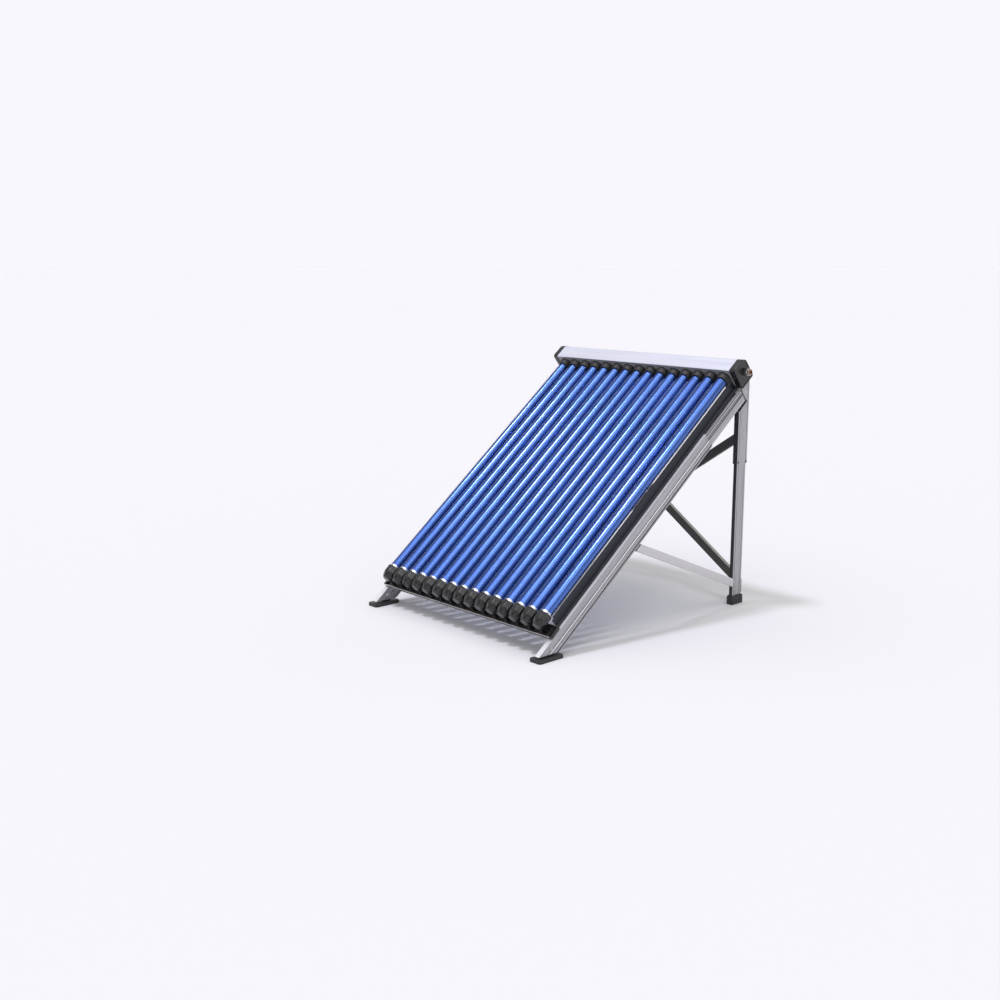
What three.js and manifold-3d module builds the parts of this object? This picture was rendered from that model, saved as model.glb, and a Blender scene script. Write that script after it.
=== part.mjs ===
// Evacuated-tube solar water heater: a manifold header, fifteen glass tubes and a folding stand.
// Millimetres, +Z up, the tubes slope up towards +Y. Origin: ground level, middle of the footprint.

import * as THREE from 'three';
import { mergeVertices } from 'three/addons/utils/BufferGeometryUtils.js';
import Module from 'manifold-3d';

const wasm = await Module();
wasm.setup();

// ---------- driving dimensions ----------

const GAP = 0.3; // clearance between pieces that meet
const TILT = THREE.MathUtils.degToRad(38.33); // slope of the tube plane at rest

// Tubes. s is the distance up the slope, n the height above the tubes' axes, both from the slope's foot.
const TUBES = 15;
const PITCH = 75;
const GLASS_R = 29;
const GLASS_WALL = 2.6;
const TUBE_LOW_S = 238;
const TUBE_TOP_S = 1824;
const ROUND_SIDES = 12; // sides of every tube, collar and bore
const DOME_STEPS = 3;

// Header casing
const HEADER_HALF = 569;
const HEADER_S0 = 1785;
const HEADER_S1 = 1884;
const HEADER_TOP = 50;
const HEADER_BOTTOM = -65.7;
const CHAMFER_S = 22;
const CHAMFER_N = 20;
const SHEET = 2;
const CAP_THICK = 31;
const CAP_LIP = 1;

// Water pipe inside the header
const PIPE_S = 1848;
const PIPE_N = -12;
const PIPE_R = 20;
const PIPE_BORE = 16;
const STUB_R = 11;
const STUB_BORE = 8;
const STUB_END = 632;

// Side rails
const RAIL_OUT = 585;
const RAIL_WIDE = 28;
const RAIL_FRONT = -66;
const RAIL_REAR = -144;
const RAIL_WALL = 3;
const RAIL_END_Z = 23.5;
const SPLICE_S = 1474;
const SPLICE_WAVE = 7;
const UPPER_RAIL_S0 = 1380;

// Rear legs
const LEG_Y0 = 1440;
const LEG_Y1 = 1514;
const LEG_WALL = 3;
const SLEEVE_Z0 = 695;
const LOWER_LEG_TOP = 868;

// Pivots: the front hinge and the top hinge, as (s, n)
const FRONT_PIVOT = { s: 190, n: -91 };
const TOP_PIVOT = { s: 1812, n: -108 };
const PIN_R = 6;
const PIN_HOLE = 6.5;

// Feet
const FOOT_PLATE = { wide: 66, y0: 121.5, y1: 265, thick: 16.5 };
const REAR_FOOT = { margin: 5, high: 43, floor: 6 };

const SIDES = { left: -1, right: 1 };
const RAIL_IN = RAIL_OUT - RAIL_WIDE;
const RAIL_MID = RAIL_OUT - RAIL_WIDE / 2;

// ---------- helpers ----------

const toWorld = (s, n) => ({
  y: s * Math.cos(TILT) - n * Math.sin(TILT),
  z: s * Math.sin(TILT) + n * Math.cos(TILT),
});

/** A closed three.js geometry as a manifold solid. */
function solid(geometry) {
  const clean = geometry.clone();
  clean.deleteAttribute('normal');
  clean.deleteAttribute('uv');
  const merged = mergeVertices(clean, 1e-4);
  const vertProperties = new Float32Array(merged.attributes.position.array);
  const triVerts = new Uint32Array(merged.index.array);
  return new wasm.Manifold(new wasm.Mesh({ numProp: 3, vertProperties, triVerts }));
}

/** A manifold solid as a three.js geometry. */
function geometryOf(body) {
  const mesh = body.getMesh();
  const geometry = new THREE.BufferGeometry();
  geometry.setAttribute('position', new THREE.BufferAttribute(mesh.vertProperties, 3));
  geometry.setIndex(new THREE.BufferAttribute(mesh.triVerts, 1));
  const flat = geometry.toNonIndexed();
  flat.computeVertexNormals();
  return flat;
}

const join = (bodies) => bodies.reduce((whole, next) => whole.add(next));
const cut = (body, tools) => tools.reduce((rest, tool) => rest.subtract(tool), body);

/** A box from its two corners. */
function block([x0, y0, z0], [x1, y1, z1]) {
  const geometry = new THREE.BoxGeometry(x1 - x0, y1 - y0, z1 - z0);
  geometry.translate((x0 + x1) / 2, (y0 + y1) / 2, (z0 + z1) / 2);
  return solid(geometry);
}

/** An outline of [y, z] points pulled along X from x0 to x1. */
function pulledAlongX(outline, x0, x1) {
  const shape = new THREE.Shape(outline.map(([y, z]) => new THREE.Vector2(y, z)));
  const geometry = new THREE.ExtrudeGeometry(shape, { depth: x1 - x0, bevelEnabled: false });
  const axes = new THREE.Matrix4().makeBasis(
    new THREE.Vector3(0, 1, 0),
    new THREE.Vector3(0, 0, 1),
    new THREE.Vector3(1, 0, 0),
  );
  geometry.applyMatrix4(axes);
  geometry.translate(x0, 0, 0);
  return solid(geometry);
}

/** A rod along X from x0 to x1, its axis at y and z. */
function rodX(x0, x1, y, z, radius, sides = ROUND_SIDES) {
  const geometry = new THREE.CylinderGeometry(radius, radius, x1 - x0, sides);
  geometry.rotateZ(-Math.PI / 2);
  geometry.translate((x0 + x1) / 2, y, z);
  return solid(geometry);
}

/** A rod or cone along Y, from radius r0 at y0 to r1 at y1. */
function rodY(x, z, y0, y1, r0, r1 = r0, sides = ROUND_SIDES, turn = 0) {
  const geometry = new THREE.CylinderGeometry(r1, r0, y1 - y0, sides);
  geometry.rotateY(turn);
  geometry.translate(x, (y0 + y1) / 2, z);
  return solid(geometry);
}

/** The vertex radius of a polygon hole whose flats stay outside a circle of that radius. */
const holeRadius = (radius, sides = ROUND_SIDES) => radius / Math.cos(Math.PI / sides);

function paint(colour, roughness, metalness) {
  return new THREE.MeshStandardMaterial({ color: colour, roughness, metalness });
}

const MATERIALS = {
  glass: paint(0x2f5fc4, 0.12, 0.1),
  moulding: paint(0x1c1c1e, 0.55, 0),
  rubber: paint(0x141415, 0.75, 0),
  casing: paint(0xe4e5ee, 0.35, 0.85),
  plate: paint(0x74747e, 0.5, 0.6),
  aluminium: paint(0xbdbcc2, 0.35, 0.9),
  darkSteel: paint(0x3a3a3c, 0.5, 0.7),
  charcoal: paint(0x22252e, 0.5, 0.3),
  copper: paint(0xb46a42, 0.35, 0.95),
  nickel: paint(0xc4c4c8, 0.25, 0.95),
  wool: paint(0xb8ac8c, 0.95, 0),
};

function piece(name, body, material) {
  const geometry = body.isBufferGeometry ? body : geometryOf(body);
  const mesh = new THREE.Mesh(geometry, material);
  mesh.name = name;
  return mesh;
}

const collector = new THREE.Group(); // the sloping part: x, s, n
const stand = new THREE.Group(); // the upright part: x, y, z
collector.rotation.x = TILT;

const tubeX = (index) => (index - (TUBES - 1) / 2) * PITCH;
const label = (index) => String(index + 1).padStart(2, '0');

// ---------- glass tubes ----------

/** Half outline of a round-ended rod, from the tip on the axis up to the rim, as Vector2. */
function domed(radius, top) {
  const centre = TUBE_LOW_S + GLASS_R;
  const arc = Array.from({ length: DOME_STEPS + 1 }, (_, k) => {
    const angle = (Math.PI / 2) * (k / DOME_STEPS);
    return new THREE.Vector2(radius * Math.sin(angle), centre - radius * Math.cos(angle));
  });
  return [...arc, new THREE.Vector2(radius, top)];
}

function glassTube() {
  const outside = domed(GLASS_R, TUBE_TOP_S);
  const inside = domed(GLASS_R - GLASS_WALL, TUBE_TOP_S).reverse();
  return new THREE.LatheGeometry([...outside, ...inside], ROUND_SIDES);
}

// ---------- tube cups: faceted holders that clip into the bottom track ----------

const CUP = { low: 222, shoulder: 256, top: 290, r: 34.6, tipR: 25 };
const CUP_STEM = { half: 12, s0: 238, s1: 266 };
const TRACK = { half: 575, s0: 218.5, s1: 283, base: 2.5, lip: 2.5, top: -50 };

function tubeCup() {
  const flat = Math.PI / 8;
  const shell = rodY(0, 0, CUP.shoulder, CUP.top, CUP.r, CUP.r, 8, flat);
  const taper = rodY(0, 0, CUP.low, CUP.shoulder, CUP.tipR, CUP.r, 8, flat);
  const stem = block(
    [-CUP_STEM.half, CUP_STEM.s0, RAIL_FRONT + TRACK.base + 2 * GAP],
    [CUP_STEM.half, CUP_STEM.s1, -CUP.tipR / 2],
  );
  const top = new THREE.Vector2(0, CUP.top + 1);
  const bore = solid(new THREE.LatheGeometry([...domed(GLASS_R + GAP, top.y), top], ROUND_SIDES));
  return cut(join([shell, taper, stem]), [bore]);
}

for (let index = 0; index < TUBES; index += 1) {
  const tube = piece(`evacuated_tube_${label(index)}`, glassTube(), MATERIALS.glass);
  const cup = piece(`tube_cup_${label(index)}`, tubeCup(), MATERIALS.moulding);
  tube.position.x = tubeX(index);
  cup.position.x = tubeX(index);
  collector.add(tube, cup);
}

// ---------- header: cover, front plate, collars, insulation, pipework, end caps, union nuts ----------

/** The header's section, drawn in by a margin, as [s, n] points. */
function headerOutline(margin) {
  const s0 = HEADER_S0 + margin;
  const s1 = HEADER_S1 - margin;
  const top = HEADER_TOP - margin;
  const bottom = HEADER_BOTTOM + margin;
  return [
    [s0, bottom],
    [s1, bottom],
    [s1, top - CHAMFER_N],
    [s1 - CHAMFER_S, top],
    [s0, top],
  ];
}

const PLATE = { thick: 2.6, hole: 32.5 };

function manifoldCover() {
  const outside = pulledAlongX(headerOutline(0), -HEADER_HALF, HEADER_HALF);
  const inside = pulledAlongX(headerOutline(SHEET), -HEADER_HALF - 1, HEADER_HALF + 1);
  const mouth = block(
    [-HEADER_HALF - 1, HEADER_S0 - 1, HEADER_BOTTOM + SHEET],
    [HEADER_HALF + 1, HEADER_S0 + SHEET + 1, HEADER_TOP - SHEET],
  );
  return cut(outside, [inside, mouth]);
}

function manifoldFrontPlate() {
  const plate = block(
    [-HEADER_HALF, HEADER_S0, HEADER_BOTTOM + SHEET + GAP],
    [HEADER_HALF, HEADER_S0 + PLATE.thick, HEADER_TOP - SHEET - GAP],
  );
  const holes = Array.from({ length: TUBES }, (_, index) => rodY(
    tubeX(index), 0, HEADER_S0 - 1, HEADER_S0 + PLATE.thick + 1, holeRadius(PLATE.hole),
  ));
  return cut(plate, holes);
}

const COLLAR = { tip: 1754, tipR: 33, rootR: 36.5, neckR: 31.8, strip: 3.6, stripHalf: 35 };

function collarStrip() {
  const back = HEADER_S0 + PLATE.thick + GAP;
  const strip = block(
    [-HEADER_HALF + 4, back, -COLLAR.stripHalf],
    [HEADER_HALF - 4, back + COLLAR.strip, COLLAR.stripHalf],
  );
  const collars = Array.from({ length: TUBES }, (_, index) => join([
    rodY(tubeX(index), 0, COLLAR.tip, HEADER_S0 - GAP, COLLAR.tipR, COLLAR.rootR),
    rodY(tubeX(index), 0, HEADER_S0 - 2, back + 1, COLLAR.neckR),
  ]));
  const bores = Array.from({ length: TUBES }, (_, index) => rodY(
    tubeX(index), 0, COLLAR.tip - 1, back + COLLAR.strip + 1, holeRadius(GLASS_R + GAP),
  ));
  return cut(join([strip, ...collars]), bores);
}

function manifoldInsulation() {
  const front = HEADER_S0 + PLATE.thick + COLLAR.strip + 3 * GAP;
  const half = HEADER_HALF - 3;
  const filling = pulledAlongX(headerOutline(SHEET + 1), -half, half);
  const frontFace = block([-half - 1, HEADER_S0, -100], [half + 1, front, 100]);
  const sockets = Array.from({ length: TUBES }, (_, index) => rodY(
    tubeX(index), 0, front - 1, PIPE_S, holeRadius(GLASS_R + 1),
  ));
  const pipeWay = rodX(-half - 1, half + 1, PIPE_S, PIPE_N, holeRadius(PIPE_R + 1));
  return cut(filling, [frontFace, pipeWay, ...sockets]);
}

const HEAT_PIPE = { low: 330, stemR: 4, bulbR: 7, bulbS0: 1796, top: 1834.5, sides: 6 };

/** The water pipe through the header with the fifteen heat pipes joined to it. */
function copperManifold() {
  const step = HEADER_HALF - 5;
  const end = step - (PIPE_R - PIPE_BORE);
  const profile = [
    [STUB_BORE, -STUB_END],
    [STUB_R, -STUB_END],
    [STUB_R, -step],
    [PIPE_R, -step],
    [PIPE_R, step],
    [STUB_R, step],
    [STUB_R, STUB_END],
    [STUB_BORE, STUB_END],
    [STUB_BORE, end],
    [PIPE_BORE, end],
    [PIPE_BORE, -end],
    [STUB_BORE, -end],
    [STUB_BORE, -STUB_END],
  ];
  const points = profile.map(([radius, x]) => new THREE.Vector2(radius, x));
  const pipe = new THREE.LatheGeometry(points, ROUND_SIDES);
  pipe.rotateZ(-Math.PI / 2);
  pipe.translate(0, PIPE_S, PIPE_N);
  const { low, bulbS0, top, stemR, bulbR, sides } = HEAT_PIPE;
  const heatPipes = Array.from({ length: TUBES }, (_, index) => join([
    rodY(tubeX(index), 0, low, bulbS0 + 1, stemR, stemR, sides),
    rodY(tubeX(index), 0, bulbS0, top, bulbR, bulbR, sides),
  ]));
  return join([solid(pipe), ...heatPipes]);
}

function endCap(side) {
  const inner = HEADER_HALF + GAP;
  const outer = inner + CAP_THICK;
  const body = pulledAlongX(headerOutline(-CAP_LIP), inner, outer);
  const recess = pulledAlongX(headerOutline(5), outer - 3, outer + 1);
  const stubHole = rodX(inner - 1, outer + 1, PIPE_S, PIPE_N, holeRadius(STUB_R + GAP));
  const right = cut(body, [recess, stubHole]);
  return side === SIDES.right ? right : right.mirror([1, 0, 0]);
}

const NUT = { flats: 34, from: 602, to: 628 };

function unionNut(side) {
  const hex = rodX(NUT.from, NUT.to, PIPE_S, PIPE_N, holeRadius(NUT.flats / 2, 6), 6);
  const bore = rodX(NUT.from - 1, NUT.to + 1, PIPE_S, PIPE_N, holeRadius(STUB_R + 2 * GAP));
  const right = cut(hex, [bore]);
  return side === SIDES.right ? right : right.mirror([1, 0, 0]);
}

collector.add(
  piece('manifold_cover', manifoldCover(), MATERIALS.casing),
  piece('manifold_front_plate', manifoldFrontPlate(), MATERIALS.plate),
  piece('tube_collar_strip', collarStrip(), MATERIALS.rubber),
  piece('manifold_insulation', manifoldInsulation(), MATERIALS.wool),
  piece('copper_manifold', copperManifold(), MATERIALS.copper),
);

// ---------- bottom track and side trims ----------

function tubeTrack() {
  const low = RAIL_FRONT + GAP;
  const outline = [
    [TRACK.s0, low],
    [TRACK.s1, low],
    [TRACK.s1, TRACK.top],
    [TRACK.s1 - TRACK.lip, TRACK.top],
    [TRACK.s1 - TRACK.lip, low + TRACK.base],
    [TRACK.s0 + TRACK.lip, low + TRACK.base],
    [TRACK.s0 + TRACK.lip, TRACK.top],
    [TRACK.s0, TRACK.top],
  ];
  return pulledAlongX(outline, -TRACK.half, TRACK.half);
}

const TRIM = { in: 557.6, web: 2.4, out: 570.5, top: -21, ledge: -50, s0: 284, s1: 1784, fin: [296, 1750], finTop: -11 };

function sideTrim(side) {
  const low = RAIL_FRONT + GAP;
  const foot = block([TRIM.in, TRIM.s0, low], [TRIM.in + TRIM.web, TRIM.s1, TRIM.top]);
  const fin = block([TRIM.in, TRIM.fin[0], low], [TRIM.in + TRIM.web, TRIM.fin[1], TRIM.finTop]);
  const web = join([foot, fin]);
  const ledge = block([TRIM.in + 1, TRIM.s0, low], [TRIM.out, TRIM.s1, TRIM.ledge]);
  const right = join([web, ledge]);
  return side === SIDES.right ? right : right.mirror([1, 0, 0]);
}

collector.add(piece('tube_track', tubeTrack(), MATERIALS.darkSteel));

// ---------- side rails: a channel with a narrower rail spliced into its upper end ----------

const RAIL_SLOT = { half: 7, lip: 3 };

function lowerRail(side) {
  const endS = (n) => (RAIL_END_Z - n * Math.cos(TILT)) / Math.sin(TILT);
  const waves = 8;
  const splice = Array.from({ length: waves + 1 }, (_, k) => {
    const share = k / waves;
    const bend = SPLICE_WAVE * Math.sin(2 * Math.PI * share);
    return [SPLICE_S + bend, THREE.MathUtils.lerp(RAIL_REAR, RAIL_FRONT, share)];
  });
  const outline = [[endS(RAIL_FRONT), RAIL_FRONT], [endS(RAIL_REAR), RAIL_REAR], ...splice];
  const body = pulledAlongX(outline, RAIL_IN, RAIL_OUT);
  const hollow = block(
    [RAIL_IN + RAIL_WALL, 0, RAIL_REAR + RAIL_SLOT.lip],
    [RAIL_OUT - RAIL_WALL, SPLICE_S + 50, RAIL_FRONT - RAIL_WALL],
  );
  const slot = block(
    [RAIL_MID - RAIL_SLOT.half, 0, RAIL_REAR - 1],
    [RAIL_MID + RAIL_SLOT.half, SPLICE_S + 50, RAIL_REAR + RAIL_SLOT.lip + 1],
  );
  const pinHole = rodX(RAIL_IN - 1, RAIL_OUT + 1, FRONT_PIVOT.s, FRONT_PIVOT.n, holeRadius(PIN_HOLE));
  const right = cut(body, [hollow, slot, pinHole]);
  return side === SIDES.right ? right : right.mirror([1, 0, 0]);
}

const TONGUE = { half: 6, low: -128, rearY: 1503 };

function upperRail(side) {
  const inset = RAIL_WALL + GAP;
  const sleeve = block(
    [RAIL_IN + inset, UPPER_RAIL_S0, RAIL_REAR + inset],
    [RAIL_OUT - inset, HEADER_S0, RAIL_FRONT - inset],
  );
  const hollow = block(
    [RAIL_IN + inset + 2.5, UPPER_RAIL_S0 - 1, RAIL_REAR + inset + 2.5],
    [RAIL_OUT - inset - 2.5, HEADER_S0 - 30, RAIL_FRONT - inset - 2.5],
  );
  const seat = HEADER_BOTTOM - CAP_LIP - GAP;
  const endS = (n) => (TONGUE.rearY + n * Math.sin(TILT)) / Math.cos(TILT);
  const tongue = pulledAlongX([
    [HEADER_S0 - 10, TONGUE.low],
    [endS(TONGUE.low), TONGUE.low],
    [endS(seat), seat],
    [HEADER_S0 - 10, seat],
  ], RAIL_MID - TONGUE.half, RAIL_MID + TONGUE.half);
  const pinHole = rodX(RAIL_IN, RAIL_OUT, TOP_PIVOT.s, TOP_PIVOT.n, holeRadius(PIN_HOLE));
  const right = cut(join([cut(sleeve, [hollow]), tongue]), [pinHole]);
  return side === SIDES.right ? right : right.mirror([1, 0, 0]);
}

// ---------- stand: front feet, telescopic rear legs, struts and cross braces ----------

const frontPivot = toWorld(FRONT_PIVOT.s, FRONT_PIVOT.n);
const topPivot = toWorld(TOP_PIVOT.s, TOP_PIVOT.n);
const EAR = { half: 6, r: 18 };

function frontFoot(side) {
  const plate = block(
    [RAIL_MID - FOOT_PLATE.wide / 2, FOOT_PLATE.y0, 0],
    [RAIL_MID + FOOT_PLATE.wide / 2, FOOT_PLATE.y1, FOOT_PLATE.thick],
  );
  const ear = block(
    [RAIL_MID - EAR.half, frontPivot.y - EAR.r, FOOT_PLATE.thick - 1],
    [RAIL_MID + EAR.half, frontPivot.y + EAR.r, frontPivot.z],
  );
  const eye = rodX(RAIL_MID - EAR.half, RAIL_MID + EAR.half, frontPivot.y, frontPivot.z, EAR.r);
  const hole = rodX(RAIL_IN, RAIL_OUT, frontPivot.y, frontPivot.z, holeRadius(PIN_R + GAP));
  const right = cut(join([plate, ear, eye]), [hole]);
  return side === SIDES.right ? right : right.mirror([1, 0, 0]);
}

const PIN_HEAD = { r: 9, thick: 4 };

function hingePin(side) {
  const { y, z } = frontPivot;
  const inner = RAIL_IN - PIN_HEAD.thick;
  const outer = RAIL_OUT + PIN_HEAD.thick;
  const shank = rodX(inner, outer, y, z, PIN_R);
  const heads = [
    rodX(RAIL_OUT + GAP, outer, y, z, PIN_HEAD.r),
    rodX(inner, RAIL_IN - GAP, y, z, PIN_HEAD.r),
  ];
  const right = join([shank, ...heads]);
  return side === SIDES.right ? right : right.mirror([1, 0, 0]);
}

const LEG_TOP = { rear: RAIL_REAR - 7, end: HEADER_S0 + 6, top: HEADER_BOTTOM - 11 };

/** The outer sleeve of the rear leg, its top cut to clear the rail that it is hinged to. */
function upperLeg(side) {
  const heightAt = (y, n) => (y * Math.sin(TILT) + n) / Math.cos(TILT);
  const corner = toWorld(LEG_TOP.end, LEG_TOP.rear);
  const brow = toWorld(LEG_TOP.end, LEG_TOP.top);
  const outline = [
    [LEG_Y0, SLEEVE_Z0],
    [LEG_Y1, SLEEVE_Z0],
    [LEG_Y1, heightAt(LEG_Y1, LEG_TOP.top)],
    [brow.y, brow.z],
    [corner.y, corner.z],
    [LEG_Y0, heightAt(LEG_Y0, LEG_TOP.rear)],
  ];
  const body = pulledAlongX(outline, RAIL_IN, RAIL_OUT);
  const hollow = block(
    [RAIL_IN + LEG_WALL, LEG_Y0 + LEG_WALL, SLEEVE_Z0 - 1],
    [RAIL_OUT - LEG_WALL, LEG_Y1 - LEG_WALL, SLEEVE_Z0 + 1000],
  );
  const stud = rodX(RAIL_IN + 1, RAIL_OUT - 1, topPivot.y, topPivot.z, PIN_R);
  const right = join([cut(body, [hollow]), stud]);
  return side === SIDES.right ? right : right.mirror([1, 0, 0]);
}

const LEG_FLOOR = REAR_FOOT.floor + GAP;

function lowerLeg(side) {
  const inset = LEG_WALL + 0.5;
  const body = block(
    [RAIL_IN + inset, LEG_Y0 + inset, LEG_FLOOR],
    [RAIL_OUT - inset, LEG_Y1 - inset, LOWER_LEG_TOP],
  );
  const hollow = block(
    [RAIL_IN + inset + LEG_WALL, LEG_Y0 + inset + LEG_WALL, LEG_FLOOR - 1],
    [RAIL_OUT - inset - LEG_WALL, LEG_Y1 - inset - LEG_WALL, LOWER_LEG_TOP + 1],
  );
  const right = cut(body, [hollow]);
  return side === SIDES.right ? right : right.mirror([1, 0, 0]);
}

function rearFoot(side) {
  const body = block(
    [RAIL_IN - REAR_FOOT.margin, LEG_Y0 - REAR_FOOT.margin, 0],
    [RAIL_OUT + REAR_FOOT.margin, LEG_Y1 + REAR_FOOT.margin, REAR_FOOT.high],
  );
  const pocketInset = LEG_WALL + 0.5 - GAP;
  const pocket = block(
    [RAIL_IN + pocketInset, LEG_Y0 + pocketInset, REAR_FOOT.floor],
    [RAIL_OUT - pocketInset, LEG_Y1 - pocketInset, REAR_FOOT.high + 1],
  );
  const right = cut(body, [pocket]);
  return side === SIDES.right ? right : right.mirror([1, 0, 0]);
}

// The strut's centre line passes through (y, z) and climbs forward by slope.
const STRUT = { thick: 18, deep: 38, y: 1428, z: 117, slope: 0.4142, end: RAIL_REAR - 9 };
const SLIDER = { half: 5.5, deep: 22, end: -122 };

/** The outline of a bar on the strut's centre line, from the leg to the line n = end. */
function strutOutline(deep, end) {
  const rise = deep / 2 / Math.cos(Math.atan(STRUT.slope));
  const footY = LEG_Y0 + LEG_WALL + 0.5 - GAP;
  const line = (y, offset) => STRUT.z + (STRUT.y - y) * STRUT.slope + offset;
  const tip = (offset) => {
    const level = STRUT.z + STRUT.y * STRUT.slope + offset;
    const y = (level * Math.cos(TILT) - end) / (Math.sin(TILT) + STRUT.slope * Math.cos(TILT));
    return [y, line(y, offset)];
  };
  return [
    [footY, line(footY, -rise)],
    [footY, line(footY, rise)],
    tip(rise),
    tip(-rise),
  ];
}

/** A flat bar from the foot of the leg to the rail, its slider in the slot along the rail's back. */
function sideStrut(side) {
  const bar = pulledAlongX(strutOutline(STRUT.deep, STRUT.end), RAIL_OUT - STRUT.thick, RAIL_OUT);
  const slider = pulledAlongX(
    strutOutline(SLIDER.deep, SLIDER.end),
    RAIL_MID - SLIDER.half,
    RAIL_MID + SLIDER.half,
  );
  const right = join([bar, slider]);
  return side === SIDES.right ? right : right.mirror([1, 0, 0]);
}

/** A bar between the rear legs that falls from one side to the other. */
function crossBrace({ middle, slope, deep, y0, y1 }) {
  const high = RAIL_IN - 0.7; // against the sleeve
  const low = RAIL_IN + LEG_WALL + 0.5 - GAP; // against the leg below it
  const [x0, x1] = slope > 0 ? [-low, high] : [-high, low];
  const rise = deep / 2 / Math.cos(Math.atan(slope));
  const shape = new THREE.Shape([
    new THREE.Vector2(x0, middle + slope * x0 - rise),
    new THREE.Vector2(x1, middle + slope * x1 - rise),
    new THREE.Vector2(x1, middle + slope * x1 + rise),
    new THREE.Vector2(x0, middle + slope * x0 + rise),
  ]);
  const geometry = new THREE.ExtrudeGeometry(shape, { depth: y1 - y0, bevelEnabled: false });
  geometry.rotateX(Math.PI / 2);
  geometry.translate(0, y1, 0);
  return solid(geometry);
}

const BRACES = {
  cross_brace_front: { middle: 523, slope: -0.664, deep: 42, y0: 1450, y1: 1468 },
  cross_brace_rear: { middle: 458, slope: 0.656, deep: 42, y0: 1474, y1: 1492 },
};

for (const [name, side] of Object.entries(SIDES)) {
  collector.add(
    piece(`end_cap_${name}`, endCap(side), MATERIALS.moulding),
    piece(`union_nut_${name}`, unionNut(side), MATERIALS.nickel),
    piece(`side_trim_${name}`, sideTrim(side), MATERIALS.charcoal),
    piece(`lower_rail_${name}`, lowerRail(side), MATERIALS.aluminium),
    piece(`upper_rail_${name}`, upperRail(side), MATERIALS.aluminium),
  );
  stand.add(
    piece(`front_foot_${name}`, frontFoot(side), MATERIALS.darkSteel),
    piece(`front_hinge_pin_${name}`, hingePin(side), MATERIALS.nickel),
    piece(`upper_leg_${name}`, upperLeg(side), MATERIALS.aluminium),
    piece(`lower_leg_${name}`, lowerLeg(side), MATERIALS.aluminium),
    piece(`rear_foot_${name}`, rearFoot(side), MATERIALS.rubber),
    piece(`side_strut_${name}`, sideStrut(side), MATERIALS.aluminium),
  );
}
for (const [name, brace] of Object.entries(BRACES)) {
  stand.add(piece(name, crossBrace(brace), MATERIALS.darkSteel));
}

// ---------- assembly, moved so that the origin is under the middle of the footprint ----------

const frontY = FOOT_PLATE.y0;
const rearY = toWorld(HEADER_S1 + CAP_LIP, HEADER_BOTTOM - CAP_LIP).y;
const heater = new THREE.Group();
heater.add(collector, stand);
heater.position.y = -(frontY + Math.max(rearY, LEG_Y1 + REAR_FOOT.margin)) / 2;

export default heater;
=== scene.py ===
"""Visual model of an evacuated-tube solar water heater on a folding ground stand.

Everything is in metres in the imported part's own frame: +Z up, +Y up the slope towards the header.
Pieces of the sloping collector are drawn in slope coordinates (x across, s up the slope, n square to
it) and laid into the frame by Slope.
"""

import logging
import math
from dataclasses import dataclass
from enum import Enum
from typing import Callable, Iterable, Sequence

import bmesh
import bpy
from mathutils import Matrix, Vector
from mathutils.geometry import tessellate_polygon


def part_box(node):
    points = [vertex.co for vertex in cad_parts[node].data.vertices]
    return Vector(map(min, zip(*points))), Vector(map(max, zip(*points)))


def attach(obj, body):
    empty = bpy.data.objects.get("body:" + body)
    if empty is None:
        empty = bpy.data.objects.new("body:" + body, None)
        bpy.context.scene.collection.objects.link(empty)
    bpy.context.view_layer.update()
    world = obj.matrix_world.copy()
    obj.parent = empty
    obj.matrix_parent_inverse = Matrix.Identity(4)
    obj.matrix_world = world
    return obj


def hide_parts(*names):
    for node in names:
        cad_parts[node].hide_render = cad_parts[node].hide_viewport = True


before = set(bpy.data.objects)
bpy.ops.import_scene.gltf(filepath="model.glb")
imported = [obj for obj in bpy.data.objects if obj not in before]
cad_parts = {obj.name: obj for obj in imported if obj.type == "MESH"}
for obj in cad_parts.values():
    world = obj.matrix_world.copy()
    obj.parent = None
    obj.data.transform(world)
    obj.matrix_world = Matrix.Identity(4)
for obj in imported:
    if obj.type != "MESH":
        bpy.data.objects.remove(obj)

LOG = logging.getLogger("solar_water_heater")
MM = 0.001
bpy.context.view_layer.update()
Pair = tuple[float, float]
Triple = tuple[float, float, float]
Loop = Sequence[Pair]
Indices = Iterable[int]
End = float | Callable[[float, float], float]
Shape = bmesh.types.BMesh


class Side(Enum):
    """Which end of the machine a mirrored piece belongs to."""

    LEFT = -1
    RIGHT = 1

    @property
    def label(self) -> str:
        """The side's name as the CAD nodes spell it."""
        return self.name.lower()


class Grain(Enum):
    """The way a drawn or brushed surface runs."""

    SLOPE = "slope"
    UPRIGHT = "upright"
    ACROSS = "across"
    NONE = "none"


# ---------------------------------------------------------------- frames and numbers


@dataclass(frozen=True)
class Slope:
    """The sloping frame of the collector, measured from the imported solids."""

    tilt: float = math.radians(38.33)
    leg_front: float = 1440 * MM

    @property
    def origin_y(self) -> float:
        """Where the foot of the slope lies along Y, read from the right sleeve's front face."""
        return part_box("upper_leg_right")[0].y - self.leg_front

    def matrix(self) -> Matrix:
        """The transform from (x, s, n) to the row frame."""
        return Matrix.Translation((0, self.origin_y, 0)) @ Matrix.Rotation(self.tilt, 4, "X")

    def upright(self) -> Matrix:
        """The transform from (x, y, z) counted from the foot of the slope to the row frame."""
        return Matrix.Translation((0, self.origin_y, 0))


# ---------------------------------------------------------------- finishes


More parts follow.
